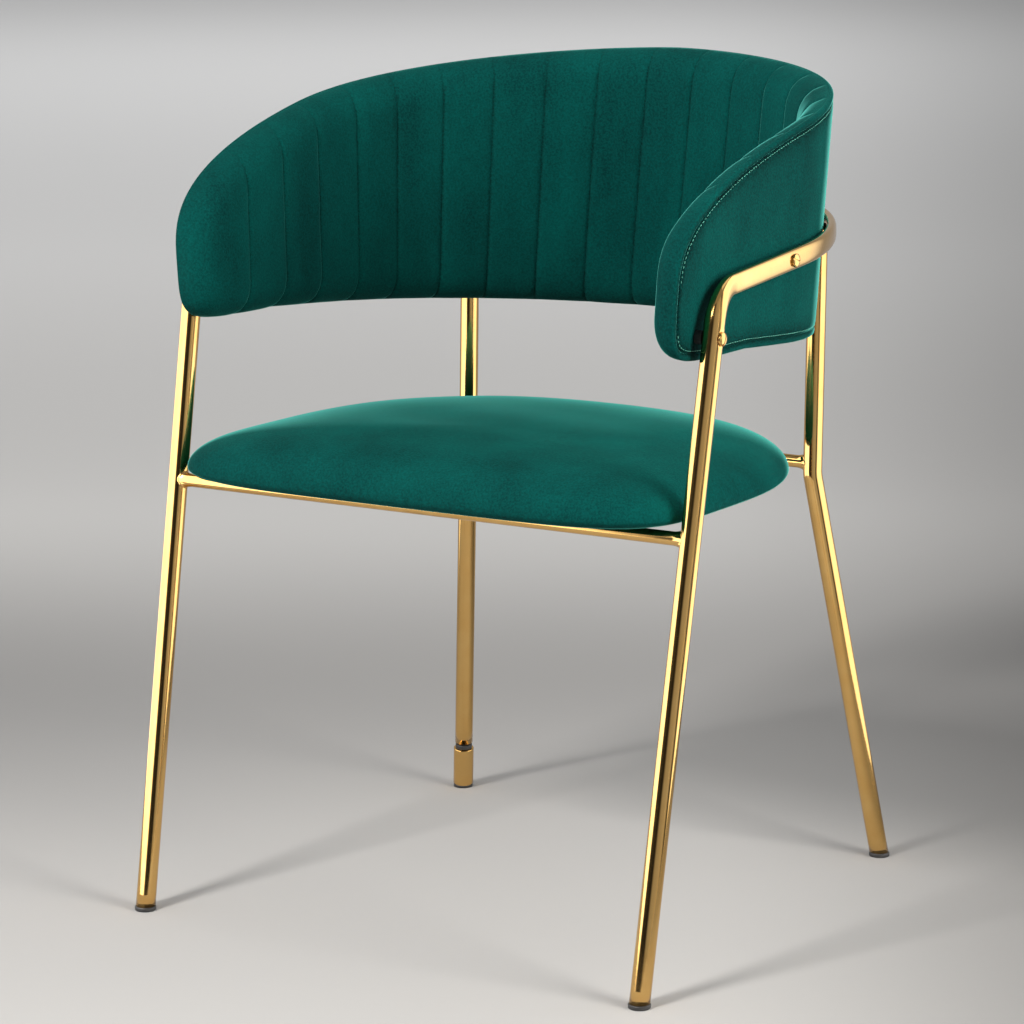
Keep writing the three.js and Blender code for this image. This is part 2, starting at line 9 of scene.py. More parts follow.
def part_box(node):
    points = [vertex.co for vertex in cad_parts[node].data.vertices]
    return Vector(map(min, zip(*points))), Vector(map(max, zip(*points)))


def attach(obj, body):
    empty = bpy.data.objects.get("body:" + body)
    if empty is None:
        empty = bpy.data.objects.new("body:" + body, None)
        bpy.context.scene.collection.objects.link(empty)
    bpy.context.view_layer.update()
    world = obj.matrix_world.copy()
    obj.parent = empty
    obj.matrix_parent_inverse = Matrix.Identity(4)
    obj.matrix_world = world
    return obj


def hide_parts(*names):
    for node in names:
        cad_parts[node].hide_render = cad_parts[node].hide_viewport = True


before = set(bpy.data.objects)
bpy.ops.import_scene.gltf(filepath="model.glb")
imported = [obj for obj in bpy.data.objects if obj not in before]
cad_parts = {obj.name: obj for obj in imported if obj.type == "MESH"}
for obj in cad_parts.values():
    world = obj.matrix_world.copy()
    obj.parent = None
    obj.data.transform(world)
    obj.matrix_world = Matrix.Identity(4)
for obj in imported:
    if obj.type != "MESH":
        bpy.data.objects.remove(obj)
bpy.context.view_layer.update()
print("frame loaded:", len(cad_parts), "nodes")

mm = 0.001


def toLinear(hexColour, alpha=1.0):
    # an sRGB hex colour as linear red, green, blue: the sRGB curve undone channel by channel
    parts = [int(hexColour[i:i + 2], 16) / 255 for i in (1, 3, 5)]
    return tuple(c / 12.92 if c <= 0.04045 else ((c + 0.055) / 1.055) ** 2.4 for c in parts) + (alpha,)


def addNode(owner, kind, settings=None, links=None):
    # one node with its settings and its links, {input: source}; a source node gives its first output in use
    node = owner.node_tree.nodes.new("ShaderNode" + kind)
    for key, value in (settings or {}).items():
        value = toLinear(value) if str(value).startswith("#") else value
        if isinstance(key, int) or key in node.inputs:
            node.inputs[key].default_value = value
        else:
            setattr(node, key, value)
    for key, source in (links or {}).items():
        if hasattr(source, "outputs"):
            source = next(socket for socket in source.outputs if socket.enabled)
        owner.node_tree.links.new(source, node.inputs[key])
    return node


def newMaterial(name):
    # an empty material, and the socket that gives each point's place
    material = bpy.data.materials.new(name)
    material.use_nodes = True
    material.node_tree.nodes.clear()
    return material, addNode(material, "TexCoord").outputs["Object"]


def fillRamp(ramp, stops):
    # stops are (place, colour) pairs, and the ramp already has its first and last
    elements = ramp.color_ramp.elements
    for place, colour in stops[1:-1]:
        elements.new(place).color = colour
    elements[0].color, elements[len(elements) - 1].color = stops[0][1], stops[-1][1]


def smoothStep(low, high, value):
    # 0 below low, 1 above high, and a smooth S between them
    t = np.clip((value - low) / (high - low), 0, 1)
    return t * t * (3 - 2 * t)


def gridFaces(rows, cols, closeRows=False, closeCols=True):
    # each cell of the grid as a quad of point numbers
    r = np.arange(rows if closeRows else rows - 1)[:, None]
    c = np.arange(cols if closeCols else cols - 1)[None, :]
    r2, c2 = (r + 1) % rows, (c + 1) % cols
    r, c, r2, c2 = np.broadcast_arrays(r, c, r2, c2)
    return np.stack([r * cols + c, r * cols + c2, r2 * cols + c2, r2 * cols + c], -1).reshape(-1, 4)


def addObject(name, data):
    piece = bpy.data.objects.new(name, data)
    bpy.context.scene.collection.objects.link(piece)
    return piece


def makeObject(name, points, faces, material=None, body="frame", smooth=True):
    # a mesh object from points and a list of face arrays, turned inside out if its volume is negative
    points = np.asarray(points, float).reshape(-1, 3)
    triangles = np.concatenate([f[:, [0, k, k + 1]] for f in faces for k in range(1, f.shape[1] - 1)])
    a, b, c = (points[triangles[:, k]] for k in range(3))
    if np.einsum("ij,ij->i", a, np.cross(b, c)).sum() < 0:
        faces = [f[:, ::-1] for f in faces]
    mesh = bpy.data.meshes.new(name)
    mesh.from_pydata(points.tolist(), [], [f for group in faces for f in group.tolist()])
    mesh.polygons.foreach_set("use_smooth", np.full(len(mesh.polygons), smooth))
    mesh.update()
    piece = addObject(name, mesh)
    if material:
        mesh.materials.append(material)
    if body:
        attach(piece, body)
    return piece


def loftParts(rings):
    # points and faces of a closed skin over rings, with each end closed on its middle
    n, m, _ = rings.shape
    points = np.vstack([rings.reshape(-1, 3), rings[0].mean(0), rings[-1].mean(0)])
    k = np.arange(m)
    k2 = (k + 1) % m
    first = np.stack([np.full(m, n * m), k2, k], -1)
    last = np.stack([np.full(m, n * m + 1), (n - 1) * m + k, (n - 1) * m + k2], -1)
    return points, [gridFaces(n, m), first, last]


def loftObject(name, rings, material, body="frame"):
    points, faces = loftParts(rings)
    return makeObject(name, points, faces, material, body)


def joinParts(parts):
    # several sets of points and faces as one set
    points, faces, start = [], [], 0
    for p, groups in parts:
        points.append(p)
        faces.extend(f + start for f in groups)
        start += len(p)
    return np.vstack(points), faces


def unit(v):
    return v / np.linalg.norm(v, axis=-1, keepdims=True)


def fullTurn(count):
    return np.linspace(0, 2 * np.pi, count, endpoint=False)


def squareTo(way):
    # the unit direction itself and two more that are square to it and to each other
    way = unit(np.asarray(way, float))
    side = unit(np.cross(way, [0.0, 0.0, 1.0] if abs(way[2]) < 0.9 else [1.0, 0.0, 0.0]))
    return way, side, np.cross(way, side)


def standFor(piece, slot, *nodes):
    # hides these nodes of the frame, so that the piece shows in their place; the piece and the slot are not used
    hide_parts(*nodes)


def markPoints(piece, name, values):
    # a number at each point of the piece, for its material to read
    layer = piece.data.attributes.new(name, "FLOAT", "POINT")
    layer.data.foreach_set("value", np.ascontiguousarray(values, np.float32).ravel())


def turnedRings(profile, start, way, sides=40):
    # a profile of (radius, distance along) pairs carried round an axis
    start, (way, side, other) = np.asarray(start, float), squareTo(way)
    angle = fullTurn(sides)
    radius, along = np.asarray(profile, float).T
    spoke = np.cos(angle)[:, None] * side + np.sin(angle)[:, None] * other
    return start + along[:, None, None] * way + radius[:, None, None] * spoke


def roundedProfile(radius, low, high, edge, steps=5):
    # a cylinder's profile with both rims rounded over by a quarter circle
    turn = np.linspace(0, np.pi / 2, steps)
    rise = [(radius - edge + edge * np.sin(t), low + edge - edge * np.cos(t)) for t in turn]
    fall = [(radius - edge + edge * np.cos(t), high - edge + edge * np.sin(t)) for t in turn]
    return [(radius * 0.5, low)] + rise + fall + [(radius * 0.5, high)]


view = {"azimuth": 31.61, "elevation": 11.22, "lens": 125.83, "place": (1.6754, -2.7658, 0.9957)}


def facing(place, backward):
    # stands at the place and looks away from the direction given
    return Matrix.Translation(place) @ backward.to_track_quat("Z", "Y").to_matrix().to_4x4()


camera = addObject("viewCamera", bpy.data.cameras.new("viewCamera"))
az, el = np.radians(view["azimuth"]), np.radians(view["elevation"])
backward = Vector((np.sin(az) * np.cos(el), -np.cos(az) * np.cos(el), np.sin(el)))
camera.matrix_world = facing(view["place"], backward)
camera.data.lens = view["lens"]
camera.data.sensor_width = 36
camera.data.clip_end = 200
bpy.context.scene.camera = camera
bpy.context.scene.view_settings.view_transform = "Standard"

lights = {
    "keySoftbox": {"place": (-0.78, -3.5, 2.75), "size": (0.8, 0.8), "power": 275, "colour": "#fffaf4"},
    "rightSoftbox": {"place": (3.3, -0.5, 1.3), "size": (1.4, 2.2), "power": 230, "colour": "#fffaf2"},
    "topSoftbox": {"place": (0.2, 0.9, 3.4), "size": (2.4, 2.0), "power": 10, "colour": "#ffffff"},
    "backgroundLight": {"place": (-5.5, 9.0, 5.0), "size": (7.0, 5.0), "power": 150, "colour": "#ffffff",
                        "aim": (-5.0, 8.4, 0)},
}
for name, setting in lights.items():
    lamp = bpy.data.lights.new(name, "AREA")
    lamp.shape = "RECTANGLE"
    lamp.size, lamp.size_y = setting["size"]
    lamp.energy = setting["power"]
    lamp.color = toLinear(setting["colour"])[:3]
    lampObject = addObject(name, lamp)
    place = Vector(setting["place"])
    aim = Vector(setting.get("aim", (0, 0, 0.42)))
    lampObject.matrix_world = facing(place, place - aim)
    lampObject.visible_camera = False

world = bpy.data.worlds.new("studioRoom")
world.use_nodes = True
bpy.context.scene.world = world
roomSetting = {
    "overhead": 0.3, "screenReach": 0.95, "screenHeight": 1.5, "brightest": 4.0,
    # brightness at each angle round from the viewing side, in degrees: left is negative
    "bands": [(-180, 0.42), (-135, 0.40), (-118, 2.4), (-52, 3.4), (-42, 0.04), (-6, 0.02), (6, 0.4), (38, 0.5),
              (46, 0.06), (54, 0.1), (64, 2.3), (104, 2.3), (124, 0.36), (180, 0.42)],
}


def roomBands(owner, way):
    # the room's brightness read off a ramp by the angle round from the viewing side, and how far up it looks
    toFront = {"rotation_type": "Z_AXIS", "Angle": np.pi / 2 - az}
    turned = addNode(owner, "VectorRotate", toFront, {"Vector": way})
    parts = addNode(owner, "SeparateXYZ", {}, {"Vector": turned})
    angle = addNode(owner, "Math", {"operation": "ARCTAN2"}, {0: parts.outputs["Y"], 1: parts.outputs["X"]})
    share = addNode(owner, "MapRange", {"From Min": -np.pi, "From Max": np.pi}, {"Value": angle})
    ramp = addNode(owner, "ValToRGB", {}, {"Fac": share})
    brightest = roomSetting["brightest"]
    fillRamp(ramp, [((turn + 180) / 360, (tone / brightest,) * 3 + (1,)) for turn, tone in roomSetting["bands"]])
    return ramp, parts.outputs["Z"]


def paintRoom():
    # a studio seen all round: tall bright screens to the left and right, dark gaps between, and a dim ceiling
    world.node_tree.nodes.clear()
    bands, up = roomBands(world, addNode(world, "TexCoord").outputs["Generated"])
    high = addNode(world, "MapRange", {"interpolation_type": "SMOOTHSTEP", "From Min": 0.5, "From Max": 0.75},
                   {"Value": up})
    overhead = roomSetting["overhead"] / roomSetting["brightest"]
    tone = addNode(world, "Mix", {"data_type": "RGBA", 7: (overhead, overhead, overhead, 1)},
                   {0: high, 6: bands})
    shader = addNode(world, "Background", {"Strength": roomSetting["brightest"]}, {"Color": tone})
    addNode(world, "OutputWorld", {}, {"Surface": shader})


paintRoom()


def standScreens():
    # the same screens down to the floor round the chair, seen only in the metal, so its streaks run to the feet
    material, place = newMaterial("studioScreens")
    bands, _ = roomBands(material, place)
    shader = addNode(material, "Emission", {"Strength": roomSetting["brightest"]}, {"Color": bands})
    addNode(material, "OutputMaterial", {}, {"Surface": shader})
    turn = fullTurn(96)
    rim = np.stack([np.cos(turn), np.sin(turn)], -1) * roomSetting["screenReach"]
    points = np.concatenate([np.insert(rim, 2, h, axis=1) for h in (0.0, roomSetting["screenHeight"])])
    screens = makeObject("studioScreens", points, [gridFaces(2, 96)], material, body=None)
    for sight in ("camera", "diffuse", "shadow", "transmission"):
        setattr(screens, "visible_" + sight, False)


standScreens()

floorSetting = {
    "reach": 60.0,
    # painted shade: the floor's tones at distances in metres beyond the chair's middle, seen from the viewing
    # side, with the darkest band painted just behind the chair
    "tones": [(-1.0, "#9c9c9b"), (-0.1, "#949494"), (0.75, "#7e7e7e"), (1.9, "#a9a9a9"), (5.0, "#c8c8c8")],
    # how much painted shade darkens the floor towards the right of the view, and the sideways spread over which
    # it comes in
    "paintedSideShade": 0.45, "sideFrom": 0.03, "sideTo": 0.19, "seenFrom": 3.24,
}


def floorMaterial():
    # matt studio floor: a pale grey whose tone drifts slowly, with painted shade darkest just behind the chair
    # and painted shade darkening it towards the right
    material, place = newMaterial("mattFloorWithPaintedShade")
    behind = addNode(material, "VectorMath", {"operation": "DOT_PRODUCT", 1: (-np.sin(az), np.cos(az), 0)},
                     {0: place})
    aside = addNode(material, "VectorMath", {"operation": "DOT_PRODUCT", 1: (np.cos(az), np.sin(az), 0)},
                    {0: place})
    # painted shade: tones along the way from the viewing side, darkest in a band just behind the chair
    share = addNode(material, "MapRange", {"From Min": -1.0, "From Max": 5.0}, {"Value": behind})
    ramp = addNode(material, "ValToRGB", {}, {"Fac": share})
    ramp.color_ramp.interpolation = "EASE"
    fillRamp(ramp, [((far + 1) / 6, toLinear(tone)) for far, tone in floorSetting["tones"]])
    away = addNode(material, "Math", {"operation": "ADD", 1: floorSetting["seenFrom"]}, {0: behind})
    away = addNode(material, "Math", {"operation": "SMOOTH_MAX", 1: 2.2, 2: 0.8}, {0: away})
    spread = addNode(material, "Math", {"operation": "DIVIDE"}, {0: aside, 1: away})
    # painted shade: the floor darker towards the right of the view
    side = addNode(material, "MapRange", {
        "interpolation_type": "SMOOTHSTEP",
        "From Min": floorSetting["sideFrom"], "From Max": floorSetting["sideTo"],
        "To Min": 1.0, "To Max": 1 - floorSetting["paintedSideShade"],
    }, {"Value": spread})
    tone = addNode(material, "VectorMath", {"operation": "SCALE"}, {0: ramp, "Scale": side})
    speckle = addNode(material, "TexNoise", {"Scale": 40.0, "Detail": 3.0}, {"Vector": place})
    bump = addNode(material, "Bump", {"Strength": 0.05, "Distance": 0.001}, {"Height": speckle})
    shader = addNode(material, "BsdfPrincipled", {"Roughness": 0.8, "Specular IOR Level": 0.0},
                     {"Base Color": tone, "Normal": bump})
    addNode(material, "OutputMaterial", {}, {"Surface": shader})
    return material


reach = floorSetting["reach"]
corners = [(-reach, -reach, 0), (reach, -reach, 0), (reach, reach, 0), (-reach, reach, 0)]
floor = makeObject("studioFloor", corners, [np.array([[0, 1, 2, 3]])], floorMaterial(), body=None, smooth=False)
print("camera, lights and floor ready")


goldFinish = {
    "colour": "#e6bf7c", "deep": "#d3a35a", "roughness": 0.07, "spread": 0.06,
    "mottle": 30.0,        # cloudy patches about 30 mm across
    "wave": 0.12 * mm,     # how deep the draw marks look
}


def goldMaterial(name, dulled=0.0):
    # polished gold-coloured plating on steel tube: mirror streaks that wander a little with the draw marks
    material, place = newMaterial(name)
    mottle = addNode(material, "TexNoise", {"Scale": goldFinish["mottle"], "Detail": 4.0, "Roughness": 0.6},
                     {"Vector": place})
    tint = addNode(material, "Mix", {
        "data_type": "RGBA", 6: goldFinish["colour"], 7: goldFinish["deep"],
    }, {0: mottle})
    least = goldFinish["roughness"] + dulled
    rough = addNode(material, "MapRange", {
        "From Min": 0.3, "From Max": 0.7, "To Min": least, "To Max": least + goldFinish["spread"],
    }, {"Value": mottle})
    wave = addNode(material, "TexNoise", {"Scale": 60.0, "Detail": 2.0, "Roughness": 0.4}, {"Vector": place})
    bump = addNode(material, "Bump", {"Strength": 0.5, "Distance": goldFinish["wave"]}, {"Height": wave})
    shader = addNode(material, "BsdfPrincipled", {"Metallic": 1.0},
                     {"Base Color": tint, "Roughness": rough, "Normal": bump})
    addNode(material, "OutputMaterial", {}, {"Surface": shader})
    return material


velvetFinish = {
    # crease is a painted shade colour for creases, seams and rolled edges; rim is the pale colour of a painted
    # sheen
    "light": "#003d39", "dark": "#002120", "crease": "#000f0e", "sheen": "#2cc4b4", "rim": "#5cbfb4",
    "napPatch": 14.0,      # patches of brushed pile about 70 mm across
    "pile": 520.0,         # tufts about 2 mm across, coarser than the real 0.4 mm so that they show
}


def velvetMaterial():
    # short-pile polyester velvet: nearly black-green looked straight into, with a painted sheen that turns it
    # pale where the pile is seen edge on, and painted shade darkening it in creases and along seams
    material, place = newMaterial("shortPileVelvet")
    stretched = addNode(material, "Mapping", {"Scale": (1.0, 1.0, 0.45)}, {"Vector": place})
    nap = addNode(material, "TexNoise", {"Scale": velvetFinish["napPatch"], "Detail": 5.0, "Roughness": 0.62},
                  {"Vector": stretched})
    pile = addNode(material, "TexNoise", {"Scale": velvetFinish["pile"], "Detail": 2.0, "Roughness": 0.7},
                   {"Vector": place})
    napFactor = addNode(material, "MapRange", {"From Min": 0.32, "From Max": 0.68}, {"Value": nap})
    pileFactor = addNode(material, "MapRange", {"From Min": 0.36, "From Max": 0.64}, {"Value": pile})
    mixed = addNode(material, "Mix", {"data_type": "FLOAT", 0: 0.5}, {2: napFactor, 3: pileFactor})
    body = addNode(material, "Mix", {
        "data_type": "RGBA", 6: velvetFinish["dark"], 7: velvetFinish["light"],
    }, {0: mixed})
    # painted shade: the crease number at each point darkens the colour towards the crease colour, broken up by
    # the tufts
    crease = addNode(material, "Attribute", {"attribute_name": "crease"})
    tufts = addNode(material, "MapRange", {"To Min": 1.2, "To Max": 0.5}, {"Value": pileFactor})
    paintedCreaseShade = addNode(material, "Math", {"operation": "MULTIPLY", "use_clamp": True},
                     {0: crease.outputs["Fac"], 1: tufts})
    colour = addNode(material, "Mix", {"data_type": "RGBA", 7: velvetFinish["crease"]}, {0: paintedCreaseShade, 6: body})
    # painted sheen: the colour mixed towards the pale rim colour where the pile is seen edge on
    edgeOn = addNode(material, "LayerWeight", {"Blend": 0.5})
    rim = addNode(material, "MapRange", {
        "interpolation_type": "SMOOTHSTEP", "From Min": 0.8, "From Max": 1.0, "To Max": 0.55,
    }, {"Value": edgeOn.outputs["Facing"]})
    withPaintedSheen = addNode(material, "Mix", {"data_type": "RGBA", 7: velvetFinish["rim"]}, {0: rim, 6: colour})
    bump = addNode(material, "Bump", {"Strength": 0.6, "Distance": 0.0007}, {"Height": pile})
    shader = addNode(material, "BsdfPrincipled", {
        "Roughness": 0.95, "Specular IOR Level": 0.04,
        "Sheen Weight": 0.13, "Sheen Roughness": 0.3, "Sheen Tint": velvetFinish["sheen"],
    }, {"Base Color": withPaintedSheen, "Normal": bump})
    addNode(material, "OutputMaterial", {}, {"Surface": shader})
    return material


def grainedMaterial(name, look):
    # two tones mixed by one fine texture, which also gives the bump and the roughness where the look says so
    material, place = newMaterial(name)
    if "stretch" in look:
        place = addNode(material, "Mapping", {"Scale": look["stretch"]}, {"Vector": place})
    grain = addNode(material, look.get("texture", "TexNoise"), look["grain"], {"Vector": place})
    tones = {"data_type": "RGBA", 6: look["tones"][0], 7: look["tones"][1]}
    links = {"Base Color": addNode(material, "Mix", tones, {0: grain})}
    if "rough" in look:
        links["Roughness"] = addNode(material, "MapRange", look["rough"], {"Value": grain})
    if "bump" in look:
        links["Normal"] = addNode(material, "Bump", look["bump"], {"Height": grain})
    shader = addNode(material, "BsdfPrincipled", look["surface"], links)
    addNode(material, "OutputMaterial", {}, {"Surface": shader})
    return material


# dull satin, with the faint grain of the mould
nylonLook = {
    "grain": {"Scale": 1500.0, "Detail": 2.0}, "tones": ("#0c0c0d", "#1d1d1e"),
    "bump": {"Strength": 0.2, "Distance": 0.0001}, "surface": {"Roughness": 0.48, "IOR": 1.53},
}
# bright cool grey plating, slightly cloudy
zincLook = {
    "grain": {"Scale": 220.0, "Detail": 4.0}, "tones": ("#a9adb2", "#c9ccd0"),
    "rough": {"To Min": 0.26, "To Max": 0.44}, "surface": {"Metallic": 1.0},
}
# bare pale wood with fine long grain
plywoodLook = {
    "stretch": (14.0, 240.0, 240.0), "grain": {"Scale": 1.0, "Detail": 6.0, "Roughness": 0.65},
    "tones": ("#b58f5f", "#dcc095"), "bump": {"Strength": 0.2, "Distance": 0.0002},
    "surface": {"Roughness": 0.62, "IOR": 1.5},
}
# spun-bonded polypropylene: black, with a small pressed dimple pattern
dustClothLook = {
    "texture": "TexVoronoi", "grain": {"Scale": 650.0}, "tones": ("#101011", "#2b2b2d"),
    "bump": {"Strength": 0.4, "Distance": 0.0002}, "surface": {"Roughness": 0.9},
}
# bonded sewing thread in the velvet's colour: a touch paler and smoother than the pile
threadLook = {
    "grain": {"Scale": 2600.0, "Detail": 1.0}, "tones": ("#1d6a5c", "#4f9c8a"), "surface": {"Roughness": 0.55},
}

polishedGold = goldMaterial("polishedGoldPlate")
screwGold = goldMaterial("satinGoldPlate", dulled=0.08)
shortPileVelvet = velvetMaterial()
blackNylon = grainedMaterial("blackMouldedNylon", nylonLook)
zincPlate = grainedMaterial("zincPlatedSteel", zincLook)
birchPlywood = grainedMaterial("birchPlywood", plywoodLook)
dustCloth = grainedMaterial("spunBondedDustCloth", dustClothLook)
sewingThread = grainedMaterial("polyesterThread", threadLook)
print("finishes ready")


tube = {"radius": 9 * mm, "sides": 48}
flatTube = {"halfThick": 4.8 * mm, "halfTall": 9.25 * mm, "squareness": 2.7}
bow = {"radius": 265.6 * mm, "height": 608.3 * mm, "rise": 0.075}
frontLeg = {"foot": (260.1 * mm, -262 * mm, 0), "rail": (266.5 * mm, -191.7 * mm, 390 * mm), "bend": 36 * mm}
rearLeg = {"foot": (237.495 * mm, 246.299 * mm, 0), "kink": (190.395 * mm, 183.299 * mm, 379.6 * mm),
           "top": (189.925 * mm, 187.949 * mm, 615.65 * mm), "bend": 40 * mm}
dimple = {"height": 557 * mm, "radius": 7 * mm, "depth": 0.8 * mm}
footCut = 4.3 * mm


def bowPoint(angle, outset=0.0):
    # the bow's centre line: a circle in plan that climbs towards the back
    r = bow["radius"] + outset
    return np.stack([r * np.cos(angle), r * np.sin(angle), bow["height"] + bow["rise"] * r * np.sin(angle)], -1)


frontFoot, frontCross = (np.array(frontLeg[k], float) for k in ("foot", "rail"))
frontWay = unit(frontCross - frontFoot)


def frontAt(z):
    return frontFoot + frontWay * (z / frontWay[2])


legSlope = (frontCross[1] - frontFoot[1]) / frontCross[2]
cornerZ = (bow["height"] + bow["rise"] * frontFoot[1]) / (1 - bow["rise"] * legSlope)
armCorner = frontAt(cornerZ)
# the arm runs from its corner to where it touches the bow's circle
touchAngle = np.arctan2(*armCorner[1::-1]) + np.arccos(bow["radius"] / np.hypot(*armCorner[:2]))
armTouch = bowPoint(touchAngle)


def bentPath(points, bend, steps, runs):
    # straight runs joined by arcs: places and ways along the path, and how far round each arc a place is
    ways = [unit(b - a) for a, b in zip(points, points[1:])]
    turn = np.arccos(np.clip(np.dot(ways[0], ways[1]), -1, 1))
    inward = unit(ways[1] - np.dot(ways[1], ways[0]) * ways[0])
    begin = points[1] - ways[0] * bend * np.tan(turn / 2)
    finish = points[1] + ways[1] * bend * np.tan(turn / 2)
    angle = np.linspace(0, turn, steps)[:, None]
    arc = begin + ways[0] * bend * np.sin(angle) + inward * bend * (1 - np.cos(angle))
    arcWay = ways[0] * np.cos(angle) + inward * np.sin(angle)
    first = points[0] + (begin - points[0]) * runs[0][:-1, None]
    last = finish + (points[2] - finish) * runs[1][1:, None]
    places = np.vstack([first, arc, last])
    headings = np.vstack([np.tile(ways[0], (len(first), 1)), arcWay, np.tile(ways[1], (len(last), 1))])
    turned = np.concatenate([np.zeros(len(first)), np.linspace(0, 1, steps), np.ones(len(last))])
    return places, headings, turned


def sectionRings(places, ways, outs, halfOut, halfAcross, squareness):
    # superellipse sections: |a/halfOut|^n + |b/halfAcross|^n = 1, carried along the places
    angle = fullTurn(tube["sides"])
    c, s = np.cos(angle), np.sin(angle)
    power = 2 / np.asarray(squareness, float)[:, None]
    a = np.asarray(halfOut, float)[:, None] * np.sign(c) * np.abs(c) ** power
    b = np.asarray(halfAcross, float)[:, None] * np.sign(s) * np.abs(s) ** power
    across = np.cross(ways, outs)
    return places[:, None] + a[..., None] * outs[:, None] + b[..., None] * across[:, None]


def outwards(ways):
    # the direction square to the path that is nearest to +X
    x = np.array([1.0, 0.0, 0.0])
    return unit(x - ways * (ways @ x)[:, None])


def levelled(rings, ways, height, end=0):
    # slides the end ring's points along the tube until they lie level at the height
    rings[end] += ways[end] * ((height - rings[end][:, 2]) / ways[end][2])[:, None]
    return rings


# the leg's places are close together round the dimple for its screw
evenRun = np.linspace(0, 1, 40)
nearDimple = (dimple["height"] + np.linspace(-12, 12, 49) * mm) / (armCorner[2] - 26 * mm)
legRun = np.unique(np.concatenate([evenRun, np.clip(nearDimple, 0, 1)]))
armPoints = [frontFoot, armCorner, armTouch]
armPlaces, armWays, armRound = bentPath(armPoints, frontLeg["bend"], 22, [legRun, evenRun])
bowAngle = np.linspace(touchAngle, np.pi / 2, 90)[1:]
bowWays = unit(np.stack([-np.sin(bowAngle), np.cos(bowAngle), bow["rise"] * np.cos(bowAngle)], -1))
bowOuts = np.stack([np.cos(bowAngle), np.sin(bowAngle), np.zeros_like(bowAngle)], -1)
halfPlaces = np.vstack([armPlaces, bowPoint(bowAngle)])
halfWays = np.vstack([armWays, bowWays])
halfOuts = np.vstack([outwards(armWays), bowOuts])
halfFlat = np.concatenate([smoothStep(0, 1, armRound), np.ones(len(bowAngle))])
mirrorPlace, mirrorWay = np.array([-1.0, 1.0, 1.0]), np.array([1.0, -1.0, -1.0])
loopPlaces = np.vstack([halfPlaces, (halfPlaces * mirrorPlace)[-2::-1]])
loopWays = np.vstack([halfWays, (halfWays * mirrorWay)[-2::-1]])
loopOuts = np.vstack([halfOuts, (halfOuts * mirrorPlace)[-2::-1]])
loopFlat = np.concatenate([halfFlat, halfFlat[-2::-1]])


def between(low, high, share):
    return low + (high - low) * share


loopRings = sectionRings(
    loopPlaces, loopWays, loopOuts, between(tube["radius"], flatTube["halfThick"], loopFlat),
    between(tube["radius"], flatTube["halfTall"], loopFlat), between(2.0, flatTube["squareness"], loopFlat),
)
levelled(loopRings, loopWays, footCut)
levelled(loopRings, loopWays, footCut, end=-1)
for side in (1, -1):   # the pressed-in flat under each leg screw
    middle = frontAt(dimple["height"]) * np.array([side, 1, 1])
    away = np.linalg.norm((loopRings - middle)[..., 1:], axis=-1)
    height = (loopRings[..., 0] - middle[0]) * side
    limit = tube["radius"] - dimple["depth"] * (1 - smoothStep(0.8, 1.35, away / dimple["radius"]))
    pressed = (height > 0) & (away < 1.35 * dimple["radius"])
    loopRings[..., 0] = np.where(pressed, middle[0] + side * np.minimum(height, limit), loopRings[..., 0])
armLoop = loftObject("armLoopTube", loopRings, polishedGold)
standFor(armLoop, "gold_tube", "arm_loop_tube")

leveller = {
    "padHeight": 4.3 * mm, "sleeveStart": 4.6 * mm, "sleeveEnd": 44.6 * mm, "sleeveRadius": 10.2 * mm,
    "ringStart": 44.9 * mm, "ringEnd": 49.4 * mm, "ringRadius": 8.4 * mm, "legEnd": 51.5 * mm,
}

rearPoints = [np.array(rearLeg[k], float) for k in ("foot", "kink", "top")]
for name, side in (("left", 1), ("right", -1)):
    start = rearPoints[0]
    if side < 0:   # this leg is shorter, for the levelling foot
        start = start + unit(rearPoints[1] - start) * leveller["legEnd"]
    runs = [np.linspace(0, 1, 24), np.linspace(0, 1, 20)]
    places, ways, _ = bentPath([start] + rearPoints[1:], rearLeg["bend"], 12, runs)
    places, ways = places * np.array([side, 1, 1]), ways * np.array([side, 1, 1])
    size = np.full(len(places), tube["radius"])
    edge = 2.2 * mm   # the top end is dressed round
    turn = np.linspace(0, np.pi / 2, 7)[1:]
    topPlaces = places[-1] + ways[-1] * (edge * (np.sin(turn) - 1))[:, None]
    places = np.vstack([places[:-1], places[-1] - ways[-1] * edge, topPlaces])
    size = np.concatenate([size, tube["radius"] - edge * (1 - np.cos(turn))])
    ways = np.vstack([ways, np.tile(ways[-1], (len(turn), 1))])
    rings = sectionRings(places, ways, outwards(ways), size, size, np.full(len(size), 2.0))
    if side > 0:
        levelled(rings, ways, footCut)
    leg = loftObject(f"rearLegTube_{name}", rings, polishedGold)
    standFor(leg, "gold_tube", f"rear_leg_{name}")
print("tubes ready")


crossRail = {
    "radius": 6 * mm, "height": 390 * mm, "sides": 64,
    "weldProud": 2.2 * mm, "weldLength": 8 * mm, "ripple": 0.22 * mm,
}


